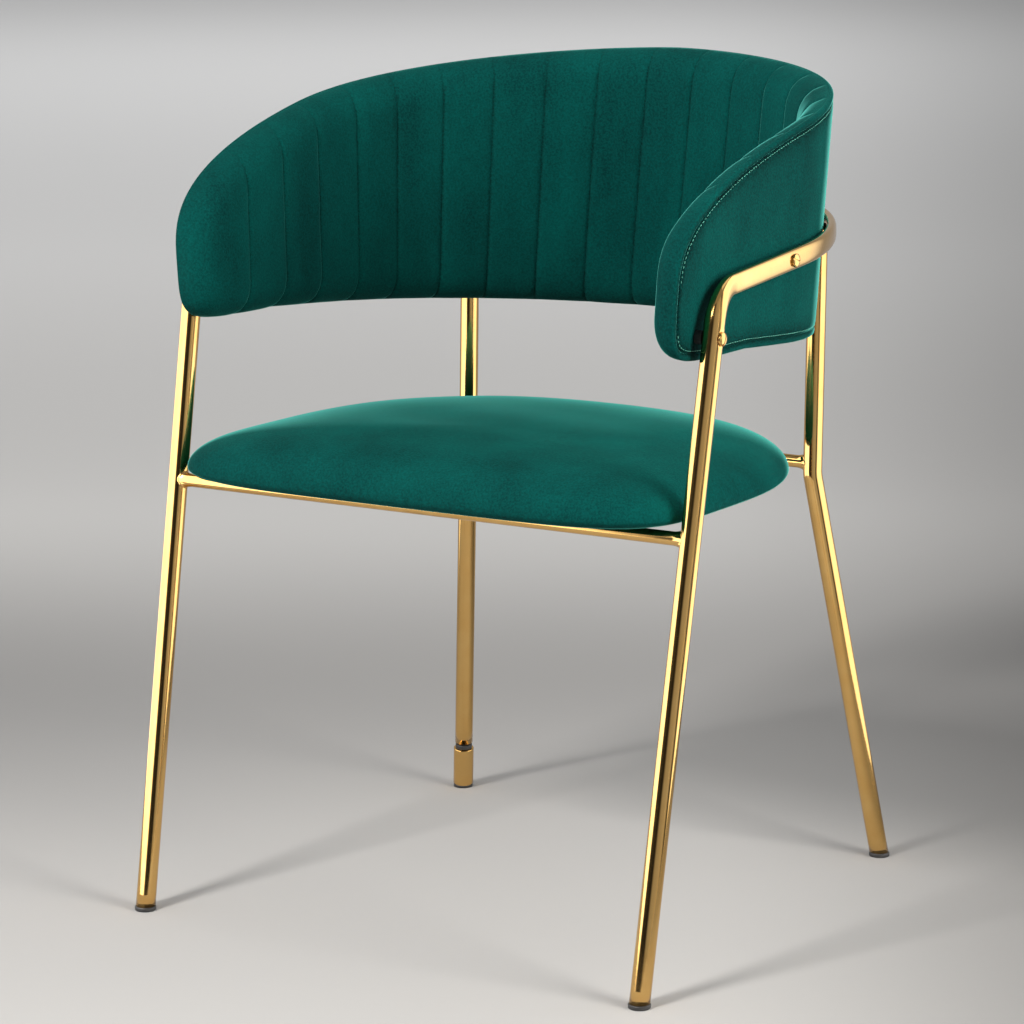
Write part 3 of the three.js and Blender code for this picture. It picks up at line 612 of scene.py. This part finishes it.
def crossRailRings(halfSpan, y, legTilt, legLean):
    # a round tube that flares into a weld whose foot follows the leg's own cylinder
    phi = fullTurn(crossRail["sides"])
    flare = np.linspace(0, 1, 16)
    radius = crossRail["radius"] + crossRail["weldProud"] * (1 - np.sqrt(1 - np.minimum(flare, 0.999) ** 2))
    radius = radius[:, None] + crossRail["ripple"] * flare[:, None] * np.sin(11 * phi) * np.sin(3 * phi + 1)
    dy, dz = radius * np.sin(phi), radius * np.cos(phi)
    offset = np.clip(np.abs(dy - dz * legTilt), 0, tube["radius"] * 0.98)
    legFace = halfSpan + dz * legLean - np.sqrt(tube["radius"] ** 2 - offset ** 2)
    x = legFace - crossRail["weldLength"] * (1 - flare[:, None])
    inner = np.stack([np.full((1, len(phi)), halfSpan - 3 * mm), 0.7 * dy[-1:], 0.7 * dz[-1:]], -1)
    right = np.concatenate([np.stack([x, dy, dz], -1), inner])
    left = right[::-1] * np.array([-1, 1, 1])
    return np.concatenate([left, right]) + np.array([0, y, crossRail["height"]])


legLean = (frontCross[0] - frontFoot[0]) / frontCross[2]
for name, node, halfSpan, y, tilt, lean in (
    ("frontCrossRail", "front_cross_rail", frontCross[0], frontCross[1], legSlope, legLean),
    ("rearCrossRail", "rear_cross_rail", rearPoints[1][0], rearPoints[1][1], 0.0, 0.0),
):
    rail = loftObject(name, crossRailRings(halfSpan, y, tilt, lean), polishedGold)
    standFor(rail, "gold_tube", node)
print("cross rails ready")


screw = {"head": 6 * mm, "height": 3.4 * mm, "slot": 0.6 * mm, "slotDepth": 1.2 * mm, "shank": 3 * mm}


def screwParts(seatPlace, way, length, slotTurn=0.0):
    # a domed head with a straight slot over a disc of columns, and a shank below it
    way, flatSide, other = squareTo(way)
    u = np.cos(slotTurn) * flatSide + np.sin(slotTurn) * other
    v = -np.sin(slotTurn) * flatSide + np.cos(slotTurn) * other
    head = screw["head"]
    wall = screw["slot"]
    xi = np.concatenate([-head * np.cos(np.linspace(0, 1.47, 12)), [-wall - 0.08 * mm, -wall, -wall / 3]])
    xi = np.concatenate([xi, -xi[::-1]])
    eta = np.sin(np.linspace(-np.pi / 2, np.pi / 2, 21))
    x, e = np.meshgrid(xi, eta, indexing="ij")
    y = e * np.sqrt(np.maximum(head ** 2 - x ** 2, (0.02 * head) ** 2))
    r = np.clip(np.hypot(x, y) / head, 0, 1)
    top = screw["height"] * (0.42 + 0.58 * (1 - r ** 2.6) ** 0.75)
    top = top - np.where(np.abs(x) <= wall + 1e-9, screw["slotDepth"], 0.0) * (1 - 0.35 * r ** 3)
    upper = x[..., None] * u + y[..., None] * v - top[..., None] * way
    lower = x[..., None] * u + y[..., None] * v
    n, m = x.shape
    faces = [gridFaces(n, m, closeCols=False), gridFaces(n, m, closeCols=False)[:, ::-1] + n * m]
    rim = np.concatenate([
        np.arange(m), np.arange(1, n) * m + m - 1,
        (n - 1) * m + np.arange(m - 2, -1, -1), np.arange(n - 2, 0, -1) * m,
    ])
    rim2 = np.roll(rim, -1)
    faces.append(np.stack([rim, rim + n * m, rim2 + n * m, rim2], -1))
    dome = np.vstack([upper.reshape(-1, 3), lower.reshape(-1, 3)]) + np.asarray(seatPlace, float)
    shank = loftParts(turnedRings(roundedProfile(screw["shank"], 0, length, 0.3 * mm, 3), seatPlace, way, 20))
    return joinParts([(dome, faces), shank])


spacer = {"radius": 6 * mm, "edge": 0.6 * mm}
backFace = {"radius": 257.26 * mm, "lean": 0.065}


def wrapRadius(z):
    # the pad's outer face leans outwards as it rises
    return backFace["radius"] + backFace["lean"] * (z - bow["height"])


armScrewPlace = armTouch + (armCorner - armTouch) * ((-17 * mm - armTouch[1]) / (armCorner[1] - armTouch[1]))
bowScrewAngle = np.pi / 2 - (np.pi / 2 - touchAngle) * 2 / 13
bowScrewPlace = bowPoint(bowScrewAngle)
bowScrewWay = -np.array([np.cos(bowScrewAngle), np.sin(bowScrewAngle), 0])
sideways = np.array([-1.0, 0, 0])
# where each screw is, its way in, the tube's half thickness under the head and behind, and the slot's turn
backScrews = [
    ("leg", frontAt(dimple["height"]), sideways, tube["radius"] - dimple["depth"], tube["radius"], 0.4),
    ("arm", armScrewPlace, sideways, flatTube["halfThick"], flatTube["halfThick"], 1.9),
    ("rear", bowScrewPlace, bowScrewWay, flatTube["halfThick"], flatTube["halfThick"], 1.1),
]
screwPlaces = []   # where each screw's spacer meets the pad
for kind, place, way, outer, inner, slotTurn in backScrews:
    for name, side in (("left", 1), ("right", -1)):
        flip = np.array([side, 1.0, 1.0])
        p, w = place * flip, way * flip
        depth = np.hypot(p[0], p[1]) - wrapRadius(p[2]) if kind == "rear" else abs(p[0]) - wrapRadius(p[2])
        points, faces = screwParts(p - w * (outer + 0.3 * mm), w, outer + depth + 9 * mm, slotTurn * side)
        piece = makeObject(f"backScrew_{kind}_{name}", points, faces, screwGold, smooth=False)
        standFor(piece, "gold_screw", f"back_screw_{kind}_{name}")
        profile = roundedProfile(spacer["radius"], inner - spacer["edge"], depth, spacer["edge"])
        piece = loftObject(f"backSpacer_{kind}_{name}", turnedRings(profile, p, w), blackNylon)
        standFor(piece, "black_plastic", f"back_spacer_{kind}_{name}")
        screwPlaces.append(p + w * depth)

for end in ("front_left", "front_right", "rear_left", "rear_right"):
    low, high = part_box(f"seat_screw_{end}")
    middle = np.array([(low.x + high.x) / 2, (low.y + high.y) / 2, low.z + screw["height"]])
    points, faces = screwParts(middle, (0, 0, 1), high.z - middle[2], 0.7)
    piece = makeObject(f"seatScrew_{end}", points, faces, zincPlate, smooth=False)
    standFor(piece, "zinc_steel", f"seat_screw_{end}")
    low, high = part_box(f"seat_washer_{end}")
    profile = roundedProfile(7 * mm, low.z, high.z, 0.25 * mm, 3)
    piece = loftObject(f"seatWasher_{end}", turnedRings(profile, (*middle[:2], 0), (0, 0, 1)), zincPlate)
    standFor(piece, "zinc_steel", f"seat_washer_{end}")

glide = {"radius": 9.8 * mm, "thickness": 4 * mm, "plug": 7.2 * mm, "plugLength": 20 * mm, "edge": 0.9 * mm}
for name, foot, way in (
    ("front_left", frontFoot, frontWay), ("front_right", frontFoot * mirrorPlace, frontWay * mirrorPlace),
    ("rear_left", rearPoints[0], unit(rearPoints[1] - rearPoints[0])),
):
    middle = foot + way * (glide["thickness"] / 2)
    profile = roundedProfile(glide["radius"], 0, glide["thickness"], glide["edge"])
    disc = turnedRings(profile, (*middle[:2], 0), (0, 0, 1))
    plug = turnedRings(roundedProfile(glide["plug"], 2.5 * mm, glide["plugLength"], 0.8 * mm), foot, way)
    points, faces = joinParts([loftParts(disc), loftParts(plug)])
    piece = makeObject(f"footGlide_{name}", points, faces, blackNylon)
    standFor(piece, "black_plastic", f"foot_glide_{name}")

shortFoot = rearPoints[0] * mirrorPlace
shortWay = unit((rearPoints[1] - rearPoints[0]) * mirrorPlace)
profile = roundedProfile(glide["radius"], -1 * mm, leveller["padHeight"], 0.5 * mm)
padRings = turnedRings(profile, shortFoot, shortWay)
padRings[..., 2] = np.maximum(padRings[..., 2], 0)
profile = roundedProfile(3 * mm, 1 * mm, leveller["padHeight"] + 7 * mm, 0.3 * mm, 3)
spigot = turnedRings(profile, shortFoot, shortWay, 24)
points, faces = joinParts([loftParts(padRings), loftParts(spigot)])
pad = makeObject("levellingPad", points, faces, blackNylon, body="levelling_foot")
standFor(pad, "black_plastic", "levelling_pad")
for name, node, slot, part, edge, material in (
    ("levellingSleeve", "levelling_sleeve", "gold_tube", "sleeve", 0.7 * mm, polishedGold),
    ("levellingLockRing", "levelling_lock_ring", "black_plastic", "ring", 0.5 * mm, blackNylon),
):
    profile = roundedProfile(*(leveller[part + size] for size in ("Radius", "Start", "End")), edge)
    piece = loftObject(name, turnedRings(profile, shortFoot, shortWay, 48), material, body="levelling_screw")
    standFor(piece, slot, node)


def threadRings(radius, pitch, depth, low, high, start, way):
    # a rod whose radius rises and falls once each pitch, and the crest climbs with the angle
    sides, rows = 24, int((high - low) / pitch * 8)
    along = np.linspace(low, high, rows)
    rings = turnedRings(np.stack([np.full(rows, radius), along], -1), start, way, sides)
    centre = np.asarray(start) + along[:, None] * way
    phase = along[:, None] / pitch - np.arange(sides)[None, :] / sides
    scale = 1 - depth / radius * (0.5 + 0.5 * np.cos(2 * np.pi * phase))
    return centre[:, None] + (rings - centre[:, None]) * scale[..., None]


threads = threadRings(4 * mm, 1.25 * mm, 0.6 * mm, 20.6 * mm, 71.5 * mm, shortFoot, shortWay)
stud = loftObject("levellingStud", threads, zincPlate, body="levelling_screw")
standFor(stud, "zinc_steel", "levelling_stud")
print("screws, spacers and feet ready")


seat = {
    "halfWidth": 257.2 * mm, "middleY": -85.5 * mm, "frontReach": 160 * mm, "rearReach": 267 * mm,
    "frontSquareness": 5.2, "rearSquareness": 2.35, "base": 396.3 * mm, "rimRise": 10 * mm,
    "crown": 8 * mm, "shoulder": 34 * mm, "underCut": 38 * mm, "hem": 16 * mm, "hemDepth": 1.5 * mm,
    "hemLip": 0.4 * mm, "puckers": 0.1 * mm, "puckerWave": 12.5 * mm, "swell": 0.6 * mm,
}


def seatOutline(count):
    # a superellipse, squarer in front than behind, with points evenly spaced along it
    angle = np.linspace(0, 2 * np.pi, 40001)
    c, s = np.cos(angle), np.sin(angle)
    power = 2 / np.where(s < 0, seat["frontSquareness"], seat["rearSquareness"])
    depth = np.where(s < 0, seat["frontReach"], seat["rearReach"])
    x = seat["halfWidth"] * np.sign(c) * np.abs(c) ** power
    y = depth * np.sign(s) * np.abs(s) ** power
    length = np.concatenate([[0], np.cumsum(np.hypot(np.diff(x), np.diff(y)))])
    even = np.linspace(0, length[-1], count, endpoint=False)
    return np.interp(even, length, x), np.interp(even, length, y), even


def gentleNoise(grid, wave, seed):
    # the mean of seven crossing sine waves about one wave length long, the same each run
    rng = np.random.default_rng(seed)
    x, y, z = np.moveaxis(grid, -1, 0)
    total = np.zeros(x.shape)
    for _ in range(7):
        d = unit(rng.normal(size=3)) * 2 * np.pi / (wave * rng.uniform(0.7, 1.5))
        total += np.sin(d[0] * x + d[1] * y + d[2] * z + rng.uniform(0, 6.28))
    return total / 7


def surfaceNormals(grid, closeRows=False, closeCols=True):
    # the cross product of the grid's two directions at each point
    def slope(axis, closed):
        if closed:
            return np.roll(grid, -1, axis) - np.roll(grid, 1, axis)
        return np.gradient(grid, axis=axis)
    return unit(np.cross(slope(1, closeCols), slope(0, closeRows)) + 1e-15)


def seatGrid():
    # rows climb from the recess under the board, round the hem and the rim, over the shoulder to the crown
    x, y, along = seatOutline(360)
    under = 1 - seat["underCut"] / seat["halfWidth"]
    hem = 1 - (seat["underCut"] + seat["hem"]) / seat["halfWidth"]
    rim = seat["base"] + seat["rimRise"]
    base = seat["base"]
    recess = base + seat["hemDepth"]
    rows = [(0.45, recess), (hem - 0.004, recess), (hem, base + seat["hemLip"]), (hem + 0.006, base)]
    rows += [(between(hem + 0.006, under, f), base) for f in (0.33, 0.66)]
    for f in np.linspace(0, np.pi / 2, 14)[:-1]:
        rows.append((between(under, 1, np.sin(f)), base + seat["rimRise"] * (1 - np.cos(f))))
    steep = (1 - np.sin(np.linspace(0, np.pi / 2 * 0.93, 34)) ** 2) ** (1 / 6)
    shares = np.concatenate([steep, np.linspace(steep[-1], 0.015, 30)[1:]])
    rows += [(s, rim + seat["shoulder"] * np.sqrt(1 - s ** 6) + seat["crown"] * (1 - s ** 2)) for s in shares]
    share, height = (column[:, None] for column in np.array(rows).T)
    grid = np.stack([share * x, seat["middleY"] + share * y, height + 0 * x], -1)
    normal = surfaceNormals(grid)
    level = grid[..., 2]
    outside = smoothStep(base + 2 * mm, rim, level)
    fold = smoothStep(base + 1 * mm, base + 5 * mm, level) * (1 - smoothStep(rim, rim + 9 * mm, level))
    wander = 3.0 * gentleNoise(grid * np.array([1, 1, 0]), 0.09, 5)
    puckers = np.sin(2 * np.pi * along / seat["puckerWave"] + wander) * (0.6 + 0.4 * np.sin(along * 37))
    lift = seat["puckers"] * puckers * fold + seat["swell"] * outside * gentleNoise(grid, 0.11, 8)
    # painted shade in the troughs of the puckers along the hem's fold
    crease = 0.15 * fold * np.clip(-puckers, 0, 1) ** 2
    outward = np.sign((normal * grid)[len(rows) // 2, 0, 0])
    return grid + normal * lift[..., None] * outward, crease


seatPoints, seatCreaseShade = seatGrid()
seatPad = loftObject("seatCushion", seatPoints, shortPileVelvet)
markPoints(seatPad, "crease", np.concatenate([seatCreaseShade.ravel(), [0, 0]]))
standFor(seatPad, "velvet", "seat_cover", "seat_foam")

dustCover = {"thickness": 1 * mm, "gap": 1.2 * mm}


def dustSheet():
    # a flat cloth that fills the hem's opening, and its area by the shoelace sum
    inset = seat["underCut"] + seat["hem"] + dustCover["gap"]
    share = 1 - inset / seat["halfWidth"]
    x, y, _ = seatOutline(240)
    x, y = share * x, share * y
    area = abs(x @ np.roll(y, -1) - y @ np.roll(x, -1)) / 2
    shares = np.array([0.02, 0.5, 0.98, 1, 1, 0.98, 0.5, 0.02])[:, None]
    height = seat["base"] + np.repeat([0, dustCover["thickness"]], 4)[:, None]
    rings = np.stack([shares * x, seat["middleY"] + shares * y, height + 0 * x], -1)
    return rings, (2 * share * seat["halfWidth"], share * (seat["frontReach"] + seat["rearReach"])), area


sheetRings, sheetSize, sheetArea = dustSheet()
sheet = loftObject("seatDustCover", sheetRings, dustCloth)
standFor(sheet, "dust_cloth", "seat_dust_cover")
print("seat ready, dust cover cut to", [round(v, 4) for v in sheetSize], "area", round(sheetArea, 4))


back = {
    "quarter": backFace["radius"] * np.pi / 2, "wing": (-frontAt(557 * mm)[1] + 42.1 * mm),
    "top": bow["height"] + 156.2 * mm, "nose": bow["height"] - 13.3 * mm,
    "bottom": bow["height"] - 93.3 * mm, "wingBottom": bow["height"] - 73.3 * mm,
    "thickness": 30 * mm, "roll": 35 * mm,
    "spacing": 48 * mm, "wingStart": 312 * mm, "wingSpacing": 57 * mm, "slant": 0.055, "middleHeight": 645 * mm,
    "crease": 1.5 * mm, "creaseWidth": 2.2 * mm, "creaseShade": 0.6, "shadeWidth": 1.1 * mm,
    "puff": 0.8 * mm, "puffWidth": 9 * mm, "puckers": 0.14 * mm, "puckerWave": 8.5 * mm, "puckerReach": 7 * mm,
    "squareness": 2.35, "rollRows": 26, "tuck": 0.5 * mm, "swell": 0.4 * mm,
}
back["length"] = back["quarter"] + back["wing"]


def backPoint(along, z, inwards):
    # the pad wrapped round the bow and straight along the wings
    r = wrapRadius(z) - inwards
    straight = np.maximum(0, np.abs(along) - back["quarter"])
    angle = np.minimum(back["quarter"], np.abs(along)) / backFace["radius"]
    return np.stack([np.sign(along) * r * np.sin(angle), r * np.cos(angle) - straight, z], -1)


def topEdge(t):
    # a long falling curve from the middle of the back to the nose
    return back["nose"] + (back["top"] - back["nose"]) * np.maximum(1 - t ** 1.5, 0) ** 0.385


def bottomEdge(t):
    # nearly level, rising to the wing, with a tight round at its lower corner
    line = back["bottom"] + (back["wingBottom"] - back["bottom"]) * np.minimum(1, t / 0.78) ** 1.7
    return back["nose"] - (back["nose"] - line) * np.maximum(1 - t ** 30, 0) ** 0.2


def seamAlong():
    # where the channels are, measured along the outer face: even on the bow, a little wider on the wings
    innerRadius = backFace["radius"] - back["thickness"]
    innerQuarter = innerRadius * np.pi / 2
    onWing = back["wingStart"] + back["wingSpacing"] * np.arange(1, 4)
    inner = np.concatenate([back["spacing"] * (0.5 + np.arange(7)), onWing])
    onBow = inner * backFace["radius"] / innerRadius
    outer = np.where(inner < innerQuarter, onBow, back["quarter"] + inner - innerQuarter)
    return np.concatenate([-outer[::-1], outer])


def outlineHalf(inset, count=2400):
    # half of the pad's outline, from top middle round the nose to bottom middle, moved inwards square to itself
    t = 1 - (1 - np.linspace(0, 1, 6000)) ** 4
    top = np.stack([t * back["length"], topEdge(t)], -1)
    low = np.stack([t * back["length"], bottomEdge(t)], -1)
    line = np.vstack([top, low[-2::-1]])
    length = np.concatenate([[0], np.cumsum(np.hypot(*np.diff(line, axis=0).T))])
    even = np.linspace(0, length[-1], count)
    along, z = np.interp(even, length, line[:, 0]), np.interp(even, length, line[:, 1])
    wayAlong, wayUp = np.gradient(along), np.gradient(z)
    size = np.hypot(wayAlong, wayUp)
    return along + inset * wayUp / size, z - inset * wayAlong / size


def insetEdges(inset):
    # the lower and upper edge as functions of the place along the pad, and how far the nose reaches
    along, z = outlineHalf(inset)
    nose = np.argmax(along)
    upper, lower = (along[:nose + 1], z[:nose + 1]), (along[nose:][::-1], z[nose:][::-1])
    return along[nose], lambda a: np.interp(a, *lower), lambda a: np.interp(a, *upper)


def towardsNose(limit, even):
    # columns evenly spaced up to the noses, then ever closer together
    last = 110 * mm
    s = np.linspace(0.02, 1, 34)
    nose = limit - last * s ** 3
    return np.concatenate([-nose, np.linspace(-limit + last, limit - last, even)[1:-1], nose[::-1]])


def padColumns(limit, seams):
    # close together at each seam and at the noses, wider between
    near = np.array([-9, -6, -4, -2.8, -2, -1.4, -0.9, -0.45, 0, 0.45, 0.9, 1.4, 2, 2.8, 4, 6, 9]) * mm
    noses = towardsNose(limit, 120)
    inside = np.abs(noses) < limit - 30 * mm
    places = np.unique(np.round(np.concatenate([(seams[:, None] + near).ravel(), noses[inside]]), 7))
    places = places[np.concatenate([[True], np.diff(places) > 0.3 * mm])]
    return np.sort(np.concatenate([places, noses[~inside]]))


def padSkin():
    # rows go once round the section: over the top roll, down the inner face and round the bottom roll
    # a roll is a superellipse quarter: 1 - cos(q)^(2/n) across its width, sin(q)^(2/n) of the thickness
    seams = seamAlong()
    limit, lowEdge, highEdge = insetEdges(0)
    column = padColumns(limit, seams)[None, :]
    q = np.linspace(0, np.pi / 2, back["rollRows"])
    a, d = 1 - np.cos(q) ** (2 / back["squareness"]), np.sin(q) ** (2 / back["squareness"])
    f = np.linspace(0, 1, 34)[1:-1]
    top, low = np.ones_like(a), np.zeros_like(a)
    base = np.concatenate([top, 1 - f, low])[:, None]           # 1 at the upper edge, 0 at the lower
    shift = np.concatenate([-a, 2 * f - 1, a[::-1]])[:, None]   # in roll widths
    deep = np.concatenate([d, np.ones_like(f), d[::-1]])[:, None]
    z = np.full((len(base), column.shape[1]), back["middleHeight"])
    for _ in range(8):   # a column slants, so its edges and its place depend on each other
        free = smoothStep(0, 0.12, 1 - np.abs(column) / limit)
        place = column + back["slant"] * (z - back["middleHeight"]) * free
        reached = np.minimum(np.abs(place), limit)
        lower, high = lowEdge(reached), highEdge(reached)
        width = np.clip((high - lower) / 2 - 0.3 * mm, 0.02 * mm, back["roll"])
        z = lower + (high - lower) * base + width * shift
    fromNose = np.clip((limit - np.abs(column)) / back["roll"], 0, 1)
    n = back["squareness"]
    depth = back["thickness"] * (1 - (1 - fromNose) ** n) ** (1 / n) * deep
    tuck = back["tuck"] * (1 - smoothStep(2 * mm, 4.5 * mm, depth))   # slips under the border at the edges
    z = z + tuck * np.where(base > 0.5, -1, 1) * (np.abs(shift) < 1) * (base * (1 - base) == 0)
    grid = backPoint(place, z, np.maximum(depth, 2.2 * mm))
    normal = surfaceNormals(grid, closeCols=False)
    rows = len(z)
    normal = normal * np.sign(normal[rows // 2, normal.shape[1] // 2] @ np.array([0, -1, 0]))
    gap = np.abs(column - seams[:, None]).min(0)[None, :]
    onInner = smoothStep(3.5 * mm, 14 * mm, depth)
    fade = 1 - 0.6 * smoothStep(-30 * mm, -4 * mm, z - high) * (base > 0.5)
    line = np.exp(-(gap / back["creaseWidth"]) ** 1.3)
    puff = back["puff"] * (0.5 - np.exp(-(gap / back["puffWidth"]) ** 1.5))
    swell = back["swell"] * gentleNoise(grid, 0.07, 21)
    wander = 5 * gentleNoise(grid, 0.06, 9)
    pucker = back["puckers"] * np.sin(2 * np.pi * z / back["puckerWave"] + wander)
    lift = puff - back["crease"] * line * fade + pucker * np.exp(-gap / back["puckerReach"]) + swell
    lift = onInner * lift
    # painted shade along each channel seam of the inner face
    crease = np.clip(back["creaseShade"] * np.exp(-(gap / back["shadeWidth"]) ** 1.5) * fade * onInner, 0, 1)
    return grid + normal * lift[..., None], crease


padPoints, padCreaseShade = padSkin()
backPad = loftObject("backCushion", np.swapaxes(padPoints, 0, 1), shortPileVelvet)
markPoints(backPad, "crease", np.concatenate([padCreaseShade.T.ravel(), [0, 0]]))
standFor(backPad, "velvet", "back_cover_inner", "back_foam")

border = {"corner": 2.8, "seam": 6.3, "ripple": 0.2 * mm, "period": 5.2 * mm}


def bothHalves(half, sign=1):
    return np.concatenate([half, sign * half[-2:0:-1]])


def borderLoop():
    # the cover's turned edge all round the pad: flat beside the seam, rounded at the corner, then under the
    # roll, with painted shade beside the seam and under the roll
    turn = np.linspace(0.2, np.pi / 2, 6)
    corner = np.stack([border["corner"] * (1 - np.sin(turn)), border["corner"] * (1 - np.cos(turn))], -1)
    seam = border["seam"]
    beside = [(seam, 6.5), (seam, 2.4), (seam - 0.35, 1.0), (seam - 1.1, 0.2), (seam - 2.1, 0.0)]
    section = np.vstack([beside, corner, [(0.12, 4.2), (1.3, 6.5)]]) * mm   # inset and depth of each row
    count = 700
    rows, shade = [], []
    for inset, depth in section:
        along, z = outlineHalf(inset, count)
        fade = smoothStep(1.5 * mm, 5 * mm, inset) * (depth < 3 * mm)
        length = np.cumsum(np.hypot(np.gradient(along), np.gradient(z)))
        ripple = np.sin(2 * np.pi * length / border["period"])
        rippled = depth + border["ripple"] * fade * (0.5 + 0.5 * ripple)
        rows.append(backPoint(bothHalves(along, -1), bothHalves(z), bothHalves(rippled)))
        # painted shade: dark in the rows beside the seam and under the roll, pale at the rounded corner,
        # wavering with the ripple
        tone = smoothStep(1.6 * mm, 6 * mm, inset) * (0.85 + 0.15 * ripple) * np.ones(count)
        shade.append(bothHalves(tone))
    rings = np.swapaxes(np.array(rows), 0, 1)
    return rings.reshape(-1, 3), gridFaces(*rings.shape[:2], closeRows=True), np.array(shade).T


points, faces, shade = borderLoop()
backBorder = makeObject("backBorder", points, [faces], shortPileVelvet)
markPoints(backBorder, "crease", shade)

panel = {
    "inset": 6.3 * mm, "edgeSink": 1.9 * mm, "edgeWidth": 5.5 * mm, "back": 2.4 * mm, "proud": 0.45 * mm,
    "ripple": 0.22 * mm, "swell": 0.3 * mm, "dimple": 1.3 * mm, "dimpleWidth": 11 * mm, "shadeWidth": 9.5 * mm,
}


def panelSurface():
    # the outer face inside the seam: flat, rolled in at its edge, with a hollow under each spacer and painted
    # shade darkening it towards its edge
    limit, lowEdge, highEdge = insetEdges(panel["inset"])
    column = towardsNose(limit, 330)[None, :]
    low, high = lowEdge(np.abs(column)), highEdge(np.abs(column))
    high = np.maximum(high, low + 0.05 * mm)
    f = (0.5 - 0.5 * np.cos(np.pi * np.linspace(0, 1, 64)))[:, None]
    z = low + (high - low) * f
    # how far a point is from the edge: its height above or below it, times the cosine of the edge's slope
    cosLow, cosHigh = (1 / np.hypot(1, np.gradient(e[0], column[0]))[None, :] for e in (low, high))
    edge = np.minimum((z - low) * cosLow, (high - z) * cosHigh)
    rolled = np.exp(-(edge / (0.42 * panel["edgeWidth"])) ** 1.2)
    place = column + 0 * z
    ripple = np.sin(2 * np.pi * (np.abs(place) + 0.9 * z) / border["period"])
    sink = -panel["proud"] * (1 - rolled) + panel["edgeSink"] * rolled
    sink = sink + panel["ripple"] * ripple * np.exp(-((edge - 3.5 * mm) / (3 * mm)) ** 2)
    flat = backPoint(place, z, 0 * z)
    for spot in screwPlaces:
        away = np.linalg.norm(flat - spot, axis=-1)
        sink = sink + panel["dimple"] * np.exp(-(away / panel["dimpleWidth"]) ** 2)
    sink = sink + panel["swell"] * gentleNoise(flat, 0.06, 33) * (1 - rolled)
    front = backPoint(place, z, sink)
    rear = backPoint(place, z, np.full_like(z, panel["back"]))
    # painted shade: darkest at the edge where the face rolls in, fading inwards and wavering with the ripple
    crease = np.clip(np.exp(-(edge / panel["shadeWidth"]) ** 1.6) * (0.85 + 0.15 * ripple), 0, 0.95)
    return front, rear, crease


panelFront, panelRear, panelEdgeShade = panelSurface()
ring = np.concatenate([panelFront, panelRear[::-1]], 0)
backPanel = loftObject("backPanel", np.swapaxes(ring, 0, 1), shortPileVelvet)
panelEdgeShadeBothFaces = np.concatenate([panelEdgeShade, np.zeros_like(panelEdgeShade)], 0)
markPoints(backPanel, "crease", np.concatenate([np.swapaxes(panelEdgeShadeBothFaces, 0, 1).ravel(), [0, 0]]))
standFor(backPanel, "velvet", "back_cover_outer")
print("back pad ready")

stitch = {"length": 3.0 * mm, "gap": 1.2 * mm, "thick": 0.35 * mm, "inset": 8.6 * mm}


def stitchParts():
    # a row of short capsules along a line set in from the panel's edge
    along, z = outlineHalf(stitch["inset"])
    line = np.stack([np.concatenate([along, -along[-2::-1]]), np.concatenate([z, z[-2::-1]])], -1)
    length = np.concatenate([[0], np.cumsum(np.hypot(*np.diff(line, axis=0).T))])
    step = stitch["length"] + stitch["gap"]
    start = np.arange(0, length[-1] - stitch["length"], step)
    share = np.array([0.0, 0.12, 0.5, 0.88, 1.0])
    where = start[:, None] + share * stitch["length"]
    place, z = np.interp(where, length, line[:, 0]), np.interp(where, length, line[:, 1])
    sunk = np.array([0.8, 0.15, -0.05, 0.15, 0.8]) * mm
    centre = backPoint(place, z, sunk + 0.25 * mm + 0 * place)
    way = unit(np.gradient(centre, axis=1))
    out = unit(backPoint(place, z, -1 * mm + 0 * place) - backPoint(place, z, 0 * place))
    across = np.cross(way, out)
    angle = fullTurn(6)
    size = stitch["thick"] * np.array([0.5, 0.9, 1.0, 0.9, 0.5])
    ring = np.cos(angle)[:, None] * out[:, :, None] + np.sin(angle)[:, None] * across[:, :, None]
    rings = centre[:, :, None] + size[:, None, None] * ring
    count = len(rings)
    points = rings.reshape(-1, 3)
    quads = gridFaces(5, 6)
    caps = np.array([[5, 4, 3, 2, 1, 0], [24, 25, 26, 27, 28, 29]])
    shift = (np.arange(count) * 30)[:, None, None]
    return points, [(quads + shift).reshape(-1, 4), (caps + shift).reshape(-1, 6)]


points, faces = stitchParts()
stitches = makeObject("seamStitches", points, faces, sewingThread)
print("stitches ready:", len(points) // 30)


kept = {   # nodes that stay as the CAD made them
    "seat_tab_": polishedGold, "seat_tee_nut_": zincPlate, "back_tee_nut_": zincPlate,
    "levelling_insert": zincPlate, "seat_board": birchPlywood, "back_ply_shell": birchPlywood,
}
for name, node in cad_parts.items():
    for start, material in kept.items():
        if name.startswith(start):
            node.data.materials.clear()
            node.data.materials.append(material)
print("kept nodes painted")
